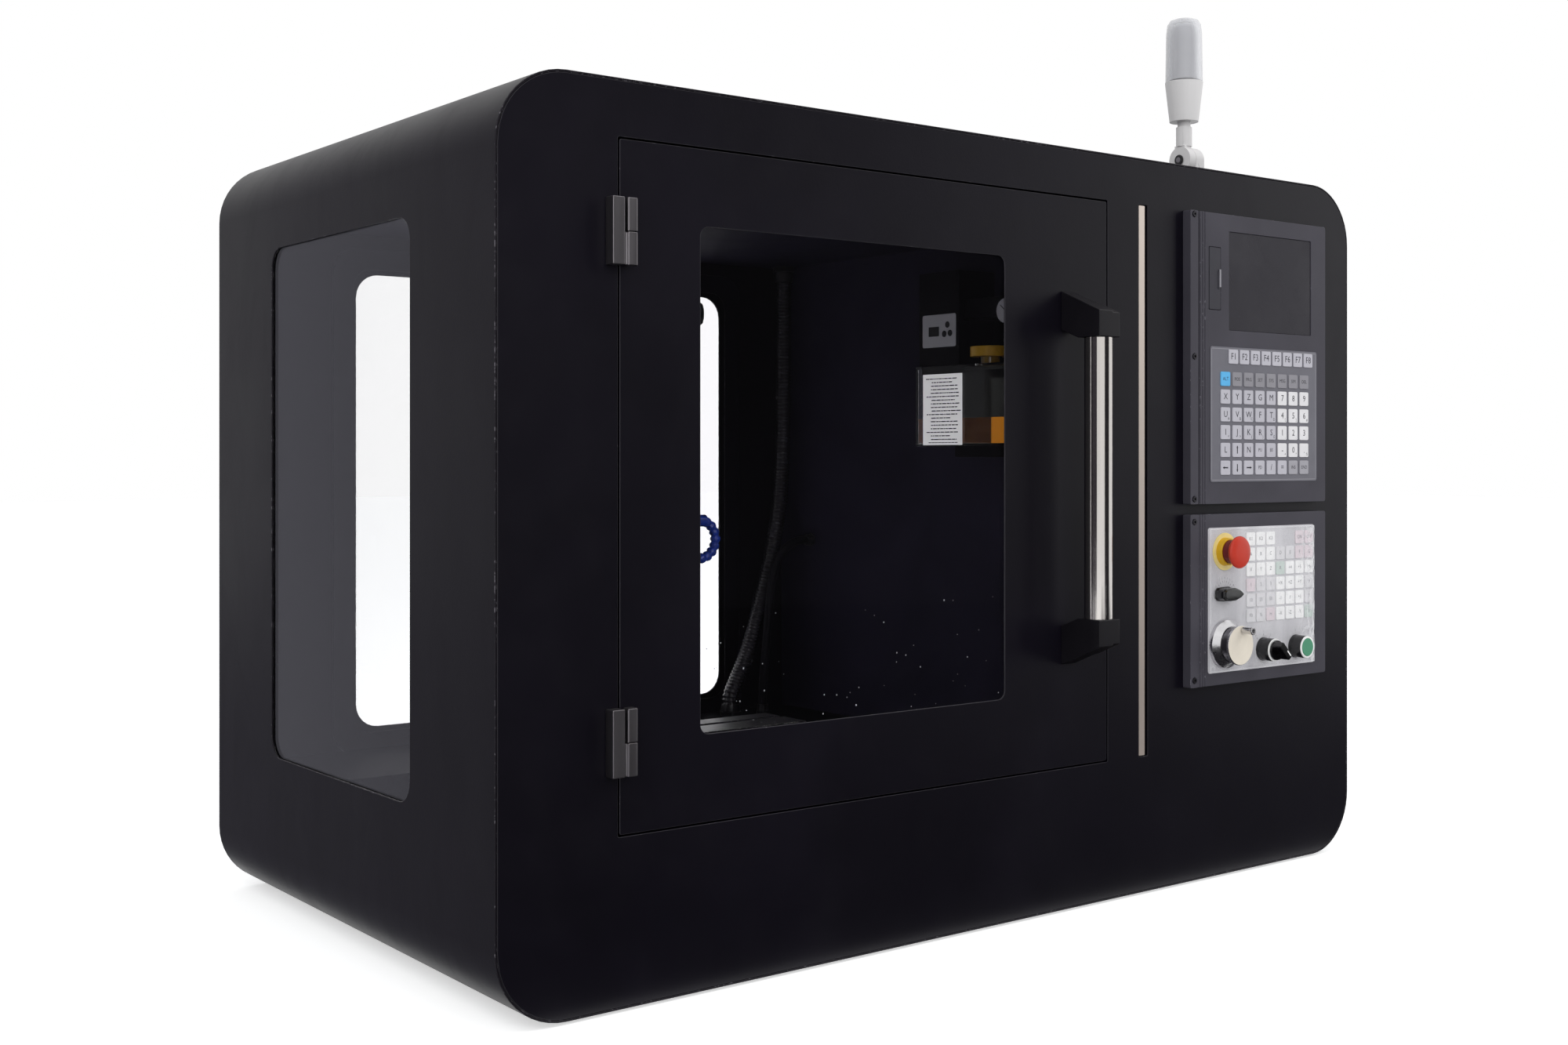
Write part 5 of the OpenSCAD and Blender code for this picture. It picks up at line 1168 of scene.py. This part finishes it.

# %% [markdown]
# The switches keep the frame's shapes and get softened edges. A lathe-turned part often carries
# more than one finish: the handwheel is chromed with a cream face, the front rims of the two
# collars are coloured near-white as a painted reflection of their chrome, and the stop button's
# yellow plate is paler than its collar, partly as painted light on its brightly lit flat face.

# %% Switches
SWITCHES = [
    ("switch_bodies", "switch_barrels", 0.4), ("estop_base", "stop_button_plate", 0.3),
    ("estop_stem", "stop_button_stem", 0.3), ("estop_head", "stop_button_head", 0.3),
    ("mode_knob", "dial_knob", 0.9), ("handwheel_flange", "handwheel_bezel", 0.3),
    ("handwheel", "handwheel_disc", 0.3), ("handwheel_crank", "handwheel_peg", 0.2),
    ("selector_knob", "selector_lever", 0.8), ("switch_rings", "switch_collars", 0.3),
    ("green_button", "green_push", 0.3), ("panel_screws", "socket_screws", 0.15),
]
GLOSSY = ("mode_knob", "selector_knob", "switch_rings", "switch_bodies")
small = {node: dress(node, name, width, 2, 40, "knob_black" if node in GLOSSY else None)
         for node, name, width in SWITCHES}
front_of = {node: mm_box(node)[0][1] for node in ("handwheel", "handwheel_crank", "selector_knob")}


def wheel_look(place, normal):
    """Cream on the face, chrome round its edge and dark chrome behind."""
    behind = place[1] - front_of["handwheel"]
    if behind < 0.2 and normal.y < -0.9:
        return 0
    return 2 if behind < 4 else 1


def peg_look(place, normal):
    """Black on the ring round the peg's cap."""
    behind = place[1] - front_of["handwheel_crank"]
    return int(normal.y < -0.9 and 0.5 < behind < 4)


# The plate's paler yellow is partly painted light on its brightly lit flat face.
tint(small["estop_base"], ["pale_yellow"], lambda place, normal: int(place[1] > PLATE_Y - 1.15))
tint(small["handwheel"], ["dark_chrome", "chrome_ring"], wheel_look)
tint(small["handwheel_crank"], ["knob_black"], peg_look)
# Painted reflection: the collars' front rims, chrome on the switch, are coloured near-white.
tint(small["switch_rings"], ["bright_rim"],
     lambda place, normal: int(place[1] < collar_front + 1.25))
print({name: len(piece.data.polygons) for name, piece in small.items()})

# %% [markdown]
# A thin white bar along the selector's lever is a painted highlight, standing in for the light that
# the lever's front edge catches.

# %% Painted highlight on the selector's lever
lever_highlight = turned_bar("selector_painted_highlight", (1.0, 10.5), (1.6, 3.2), (0, 0.3), math.radians(45), "Y",
                   at(ring_left[0], front_of["selector_knob"] - 0.12, ring_left[1]), 0.1)
finish_piece(lever_highlight, "black_plastic", "selector", look="bright_rim")
print("inlay set at", ring_left)

# %% [markdown]
# ## Protective film over the lower panel
# New panels arrive under a loose clear film, and this one still wears it. It lies in front of the
# keys with holes for the switches, crumples towards its right edge and corners, and shows mostly
# as white creases. It is a fine grid moved by noise. Its finish is nearly clear, and turns whiter
# along the creases and at the rim through the alpha channel: partly the film's own whitening and
# partly a painted highlight on the crests.

# %% Clear film
HEM = 1.2
film_left, film_right = plate_x + HEM, plate_right - HEM
film_foot, film_top = plate_z + HEM, plate_top - HEM
film_middle = at((film_left + film_right) / 2, plate_y - 0.7, (film_foot + film_top) / 2)
pick_nothing()
bpy.ops.mesh.primitive_grid_add(x_subdivisions=130, y_subdivisions=110, size=1)
clear_film = bpy.context.object
clear_film.name = "clear_protective_film"
clear_film.data.transform(
    Matrix.Translation(film_middle) @ Matrix.Rotation(math.radians(90), 4, "X")
    @ Matrix.Diagonal(((film_right - film_left) * MM, (film_top - film_foot) * MM, 1, 1)))


def round_hole(node, radius):
    """A hole in front of the middle of a node."""
    low, high = mm_box(node)
    return (low[0] + high[0]) / 2, (low[2] + high[2]) / 2, radius


HOLES = [
    round_hole("estop_base", 25.0), (*dial_at, 11.0), round_hole("handwheel_flange", 32.0),
    (*ring_left, 17.0), (*ring_right, 17.0),
]
CRUMPLED_SIDE, CRUMPLED_CORNER, PALE_RIM, MOST_LIFT = 34, 50, 1.6, 1.4
crease_and_glint = clear_film.data.attributes.new("crease_and_glint", "FLOAT", "POINT")
for i, v in enumerate(clear_film.data.vertices):
    x, y, z = mm(v.co)
    rim = min(x - film_left, film_right - x, z - film_foot, film_top - z)
    right = max(0.0, 1 - (film_right - x) / CRUMPLED_SIDE)
    low_left = max(0.0, 1 - math.hypot(x - film_left, z - film_foot) / CRUMPLED_CORNER)
    slow = noise.noise(Vector((x * 0.03, z * 0.022, 1.7)))
    folds = noise.fractal(Vector((x * 0.10, z * 0.05, 4.1)), 0.7, 2.1, 4)
    sharp = 1 - abs(noise.noise(Vector((x * 0.12, z * 0.07, 9.3)))) * 5
    lift = 0.25 * slow + folds * (0.05 + 0.75 * right + 0.3 * low_left)
    v.co.y -= max(-0.45, min(MOST_LIFT, lift)) * MM
    # The white along the folds and the rim is partly the film's own whitening and partly painted
    # highlight.
    fold_mask = max(0.0, sharp) * (0.03 + 0.6 * right + 0.25 * low_left)
    edge_mask = max(0.0, 1 - rim / PALE_RIM) * 0.55
    crease_and_glint.data[i].value = min(1.0, max(fold_mask, edge_mask))
pick(clear_film)
bpy.ops.object.mode_set(mode="EDIT")
bm = bmesh.from_edit_mesh(clear_film.data)


def in_hole(face):
    x, y, z = mm(face.calc_center_median())
    return any(math.hypot(x - hx, z - hz) < radius for hx, hz, radius in HOLES)


cut_out = [face for face in bm.faces if in_hole(face)]
bmesh.ops.delete(bm, geom=cut_out, context="FACES")
bmesh.update_edit_mesh(clear_film.data)
bpy.ops.object.mode_set(mode="OBJECT")
modify(clear_film, "thickness", "SOLIDIFY", thickness=0.08 * MM)
finish_piece(clear_film, "silver_film", "machine", smooth=60, look="clear_film")
print("clear film:", len(clear_film.data.polygons), "faces,", len(cut_out), "cut out")

# %% [markdown]
# ## Door handle, signal light and other turned parts
# The handle is a straight polished tube between two black mouldings. Polished steel has no colour
# of its own: its stripes are the bright studio and the dark cards, so the finish only adds the
# finest of polishing lines along the tube.

# %% Tube, signal's foot and its screw
dress("handle_tube", "polished_handle", 0.4, 2, 40)
knuckle = dress("signal_bracket", "signal_knuckle", 1.6, 3, 40, "white_plastic")
dress("signal_stem", "signal_post", 0.5, 3, 30)
knuckle_low, knuckle_high = mm_box("signal_bracket")
pin_x, pin_foot = (knuckle_low[0] + knuckle_high[0]) / 2 - 9.1, knuckle_low[2] + 8
screw_faces = tint(knuckle, ["gland_black"],
                   lambda place, normal: int(place[0] < pin_x and place[2] > pin_foot))
pin_front = min(x for x, y, z in (mm(v.co) for v in knuckle.data.vertices) if z > pin_foot)
socket = disc("knuckle_screw_socket", (
    pin_front - 0.1, (knuckle_low[1] + knuckle_high[1]) / 2, knuckle_high[2] - 18), 3.6, 0.5)
round_edges(socket, 0.15)
finish_piece(socket, "white_plastic", "machine", look="hinge_metal")
print("signal's foot dressed;", screw_faces, "faces of its screw darkened")

# %% Turned and clear parts
TURNED_AND_CLEAR = [  # node, name, width of the rounding, least angle of a sharp edge
    ("coolant_hose", "jointed_coolant_hose", 0.3, 50), ("oiler_cap", "filler_cap", 0.8, 40),
    ("oiler_reservoir", "clear_tank", 0.8, 40), ("cable_glands", "hose_glands", 0.4, 40),
    ("spindle", "spindle_nose", 0.4, 40), ("x_screw", "screw_across", 0.2, 40),
    ("y_screw", "screw_deep", 0.2, 40), ("z_screw", "screw_up", 0.2, 40),
    ("window_panes", "clear_panes", 0.3, 40), ("door_pane", "smoked_door_pane", 0.3, 32),
]
for node, name, width, angle in TURNED_AND_CLEAR:
    dress(node, name, width, 2, angle)
print(len(TURNED_AND_CLEAR), "turned and clear parts dressed")

# %% [markdown]
# ## The oiler in the chamber
# A lubrication unit hangs on the chamber's right wall: a clear tank with orange oil, a yellow cap,
# a pump with a small keypad label, and a pressure gauge. Its tank carries an operating card. The
# card's lines are only rows of small dashes, since nothing on it is meant to be read.

# %% Oil, card and its dashes
(tank_x, tank_y, tank_z), (tank_right, tank_back, tank_top) = mm_box("oiler_reservoir")
WALL, OIL_TOP, LIT_DEPTH = 3.1, 36, 55


def oil_finish():
    """Orange oil with a painted glow near the front, standing in for the daylight of the window
    that reaches it.
    """
    bench = Finish("orange_oil", "#8a4a12", 0.12)
    flow = bench.effect(moulded_skin, Grains_per_metre=900.0)["Flow"]
    depth = bench.wire(bench.place("SeparateXYZ"), Vector=bench.spot)["Y"]
    lit = at(0, tank_y + LIT_DEPTH, 0).y
    # Painted glow: the oil's front end is paler and glows, though it is no lamp.
    painted_glow_share = bench.span(depth, lit + 3 * MM, lit)
    body = bench.mix(flow, tone("#7a3c0c"), tone("#935016"))
    bench.wire(bench.shader, Base_Color=bench.mix(painted_glow_share, body, tone("#e8951f")),
               Emission_Color=bench.mix(painted_glow_share, tone("#000000"), tone("#d98a1c")),
               Emission_Strength=0.35)
    return bench.material


finishes["oil"] = oil_finish()
oil = bar("oil_in_tank", (tank_x + WALL, tank_right - WALL), (tank_z + WALL, tank_z + OIL_TOP),
          (tank_y + WALL, tank_back - WALL), 0.6)
finish_piece(oil, "clear_plastic", "machine", look="oil")
card_x, card_front, card_back = tank_x - 0.25, tank_y + 107, tank_y + 181
card_foot, card_top, heading_top = tank_z + 1.5, tank_z + 93, tank_z + 102.5
card = bar("operating_card", (card_x - 0.3, card_x), (card_foot, card_top),
           (card_front, card_back), 0.1)
finish_piece(card, "clear_plastic", "machine", look="card_white")
band = bar("card_heading", (card_x - 0.35, card_x), (card_top + 0.2, heading_top),
           (card_front - 2, card_back + 2), 0.1)
finish_piece(band, "clear_plastic", "machine", look="card_black")


def dash(front, back, low, high):
    """A printed dash on the card, from its limits in depth and height."""
    return bar("dash", (card_x - 0.36, card_x - 0.3), (low, high), (front, back), 0.02, 1)


random.seed(7)
LINES, LINE_PITCH, FIRST_LINE = 18, 4.6, 87
dashes = []
for line in range(LINES):
    z = tank_z + FIRST_LINE - line * LINE_PITCH
    d = tank_y + (166 if line % 5 else 176) - random.random() * 2
    while d > tank_y + 116 + random.random() * (30 if line % 5 == 1 else 4):
        long = 2 + random.random() * 7
        dashes.append(dash(d - long, d, z - 0.7, z + 0.7))
        d -= long + 1.1
for i in range(9):
    d = tank_y + 170 - i * 6.2
    dashes.append(dash(d - 4.8, d, tank_z + 4, tank_z + 5.2))
print_lines = joined("card_lines", dashes)
finish_piece(print_lines, "clear_plastic", "machine", look="dark_print")
print("card with", len(dashes), "dashes")

# %% Keypad label and gauge face
label_x, label_back, label_top = tank_x + 4.6, tank_y + 188, tank_top + 57


def label_look(place, normal):
    x, y, z = place
    in_front = tank_y + 123 < y < label_back + 1 and z < label_top + 12
    return int(abs(x - label_x) < 0.9 and normal.x < -0.9 and in_front)


count = tint(bpy.data.objects["oiler_housing"], ["label_grey"], label_look)
window = bar("keypad_window", (label_x - 0.3, label_x + 0.1), (label_top - 28.5, label_top - 16),
             (label_back - 32, label_back - 12.4), 0.1)
buttons = [window]
for d, z in ((48, 14.3), (42, 26), (53, 25.4)):
    button = disc("button", (label_x - 0.1, label_back - d, label_top - z), 4.2, 0.6)
    modify(button, "soft", "BEVEL", width=0.15 * MM, limit_method="ANGLE")
    buttons.append(button)
keypad = joined("keypad", buttons)
finish_piece(keypad, "pump_grey", "machine", look="card_black")
gauge_x, gauge_y, gauge_z = tank_x - 4, tank_y + 26, tank_top + 53
gauge = disc("gauge_face", (gauge_x - 0.05, gauge_y, gauge_z), 15.2, 0.5, 48)
pick(gauge)
bpy.ops.object.mode_set(mode="EDIT")
bpy.ops.mesh.select_all(action="DESELECT")
bm = bmesh.from_edit_mesh(gauge.data)
for face in bm.faces:
    face.select = face.normal.x < -0.9
bmesh.update_edit_mesh(gauge.data)
bpy.ops.mesh.inset(thickness=1.2 * MM, depth=-0.15 * MM)
bpy.ops.object.mode_set(mode="OBJECT")
finish_piece(gauge, "pump_grey", "machine", look="label_grey")
needle = turned_bar("gauge_needle", (-0.1, 0.1), (-0.5, 0.5), (-3, 11), math.radians(40), "X",
                    at(gauge_x - 0.5, gauge_y, gauge_z))
finish_piece(needle, "pump_grey", "machine", look="card_black")
print("label faces", count, "gauge at", gauge_x, gauge_y, gauge_z)

# %% [markdown]
# ## Signal lens
# The lens is a thin clear cup over a frosted core. The cup is the frame's lens given a wall with
# Solidify, and the core is the same shape drawn in a little from the cup, so that the two stay
# alike and a bright line of clear plastic shows all round the core.

# %% Clear cup and frosted core
cup = copy_of_node("signal_lens", "signal_cup")
core = copy_of_node("signal_lens", "signal_core")
round_edges(cup, 0.8, 3, 50)
modify(cup, "wall", "SOLIDIFY", thickness=1.4 * MM, offset=-1)
lens_low, lens_high = box("signal_lens")
foot = Vector(((lens_low.x + lens_high.x) / 2, (lens_low.y + lens_high.y) / 2, lens_low.z))
GAP_ROUND, GAP_TOP, LIFT = 3.4 * MM, 8 * MM, 2 * MM
draw_in = 1 - GAP_ROUND / ((lens_high.x - lens_low.x) / 2)
draw_down = 1 - GAP_TOP / (lens_high.z - lens_low.z)
core.data.transform(
    Matrix.Translation(foot + Vector((0, 0, LIFT)))
    @ Matrix.Diagonal((draw_in, draw_in, draw_down, 1)) @ Matrix.Translation(-foot))
round_edges(core, 1.5, 3, 50)
lens_body = body_of_node["signal_lens"]
finish_piece(cup, "lens", lens_body, "signal_lens", smooth=40)
finish_piece(core, "lens", lens_body, smooth=40, look="frosted_core")
print("cup and core", len(cup.data.polygons), len(core.data.polygons))

# %% [markdown]
# ## Coolant drops
# Splashed drops cling to the lower part of the door's window, on its inside. One drop is modelled,
# a ball pressed flat, and copied with its own mesh at each place.

# %% Drops
pick_nothing()
bpy.ops.mesh.primitive_ico_sphere_add(subdivisions=2, radius=1, location=(0, 0, 0))
first_drop = bpy.context.object
first_drop.name = "coolant_drops"
pick(first_drop)
bpy.ops.object.mode_set(mode="EDIT")
bpy.ops.mesh.select_all(action="SELECT")
bpy.ops.transform.resize(value=(1, 0.45, 1.15))
bpy.ops.object.mode_set(mode="OBJECT")
(pane_x, _, pane_z), (pane_right, pane_back, _) = mm_box("door_pane")
DROPS, SMALLEST, EXTRA, RIM, WET_HEIGHT = 70, 0.35, 0.6, 12, 130
drops = []
for i in range(DROPS):
    size = (SMALLEST + EXTRA * random.random() ** 2) * MM
    x = pane_x + RIM + random.random() * (pane_right - pane_x - 30)
    z = pane_z + RIM + (random.random() ** 2) * WET_HEIGHT
    drop = first_drop.copy()
    drop.data = first_drop.data.copy()
    bpy.context.collection.objects.link(drop)
    drop.data.transform(
        Matrix.Translation(at(x, pane_back + 0.1, z)) @ Matrix.Scale(size, 4))
    drops.append(drop)
bpy.data.objects.remove(first_drop)
splashes = joined("coolant_drops", drops)
finish_piece(splashes, "pane", body_of_node["door_pane"], smooth=60, look="coolant_drop")
print(len(drops), "drops")
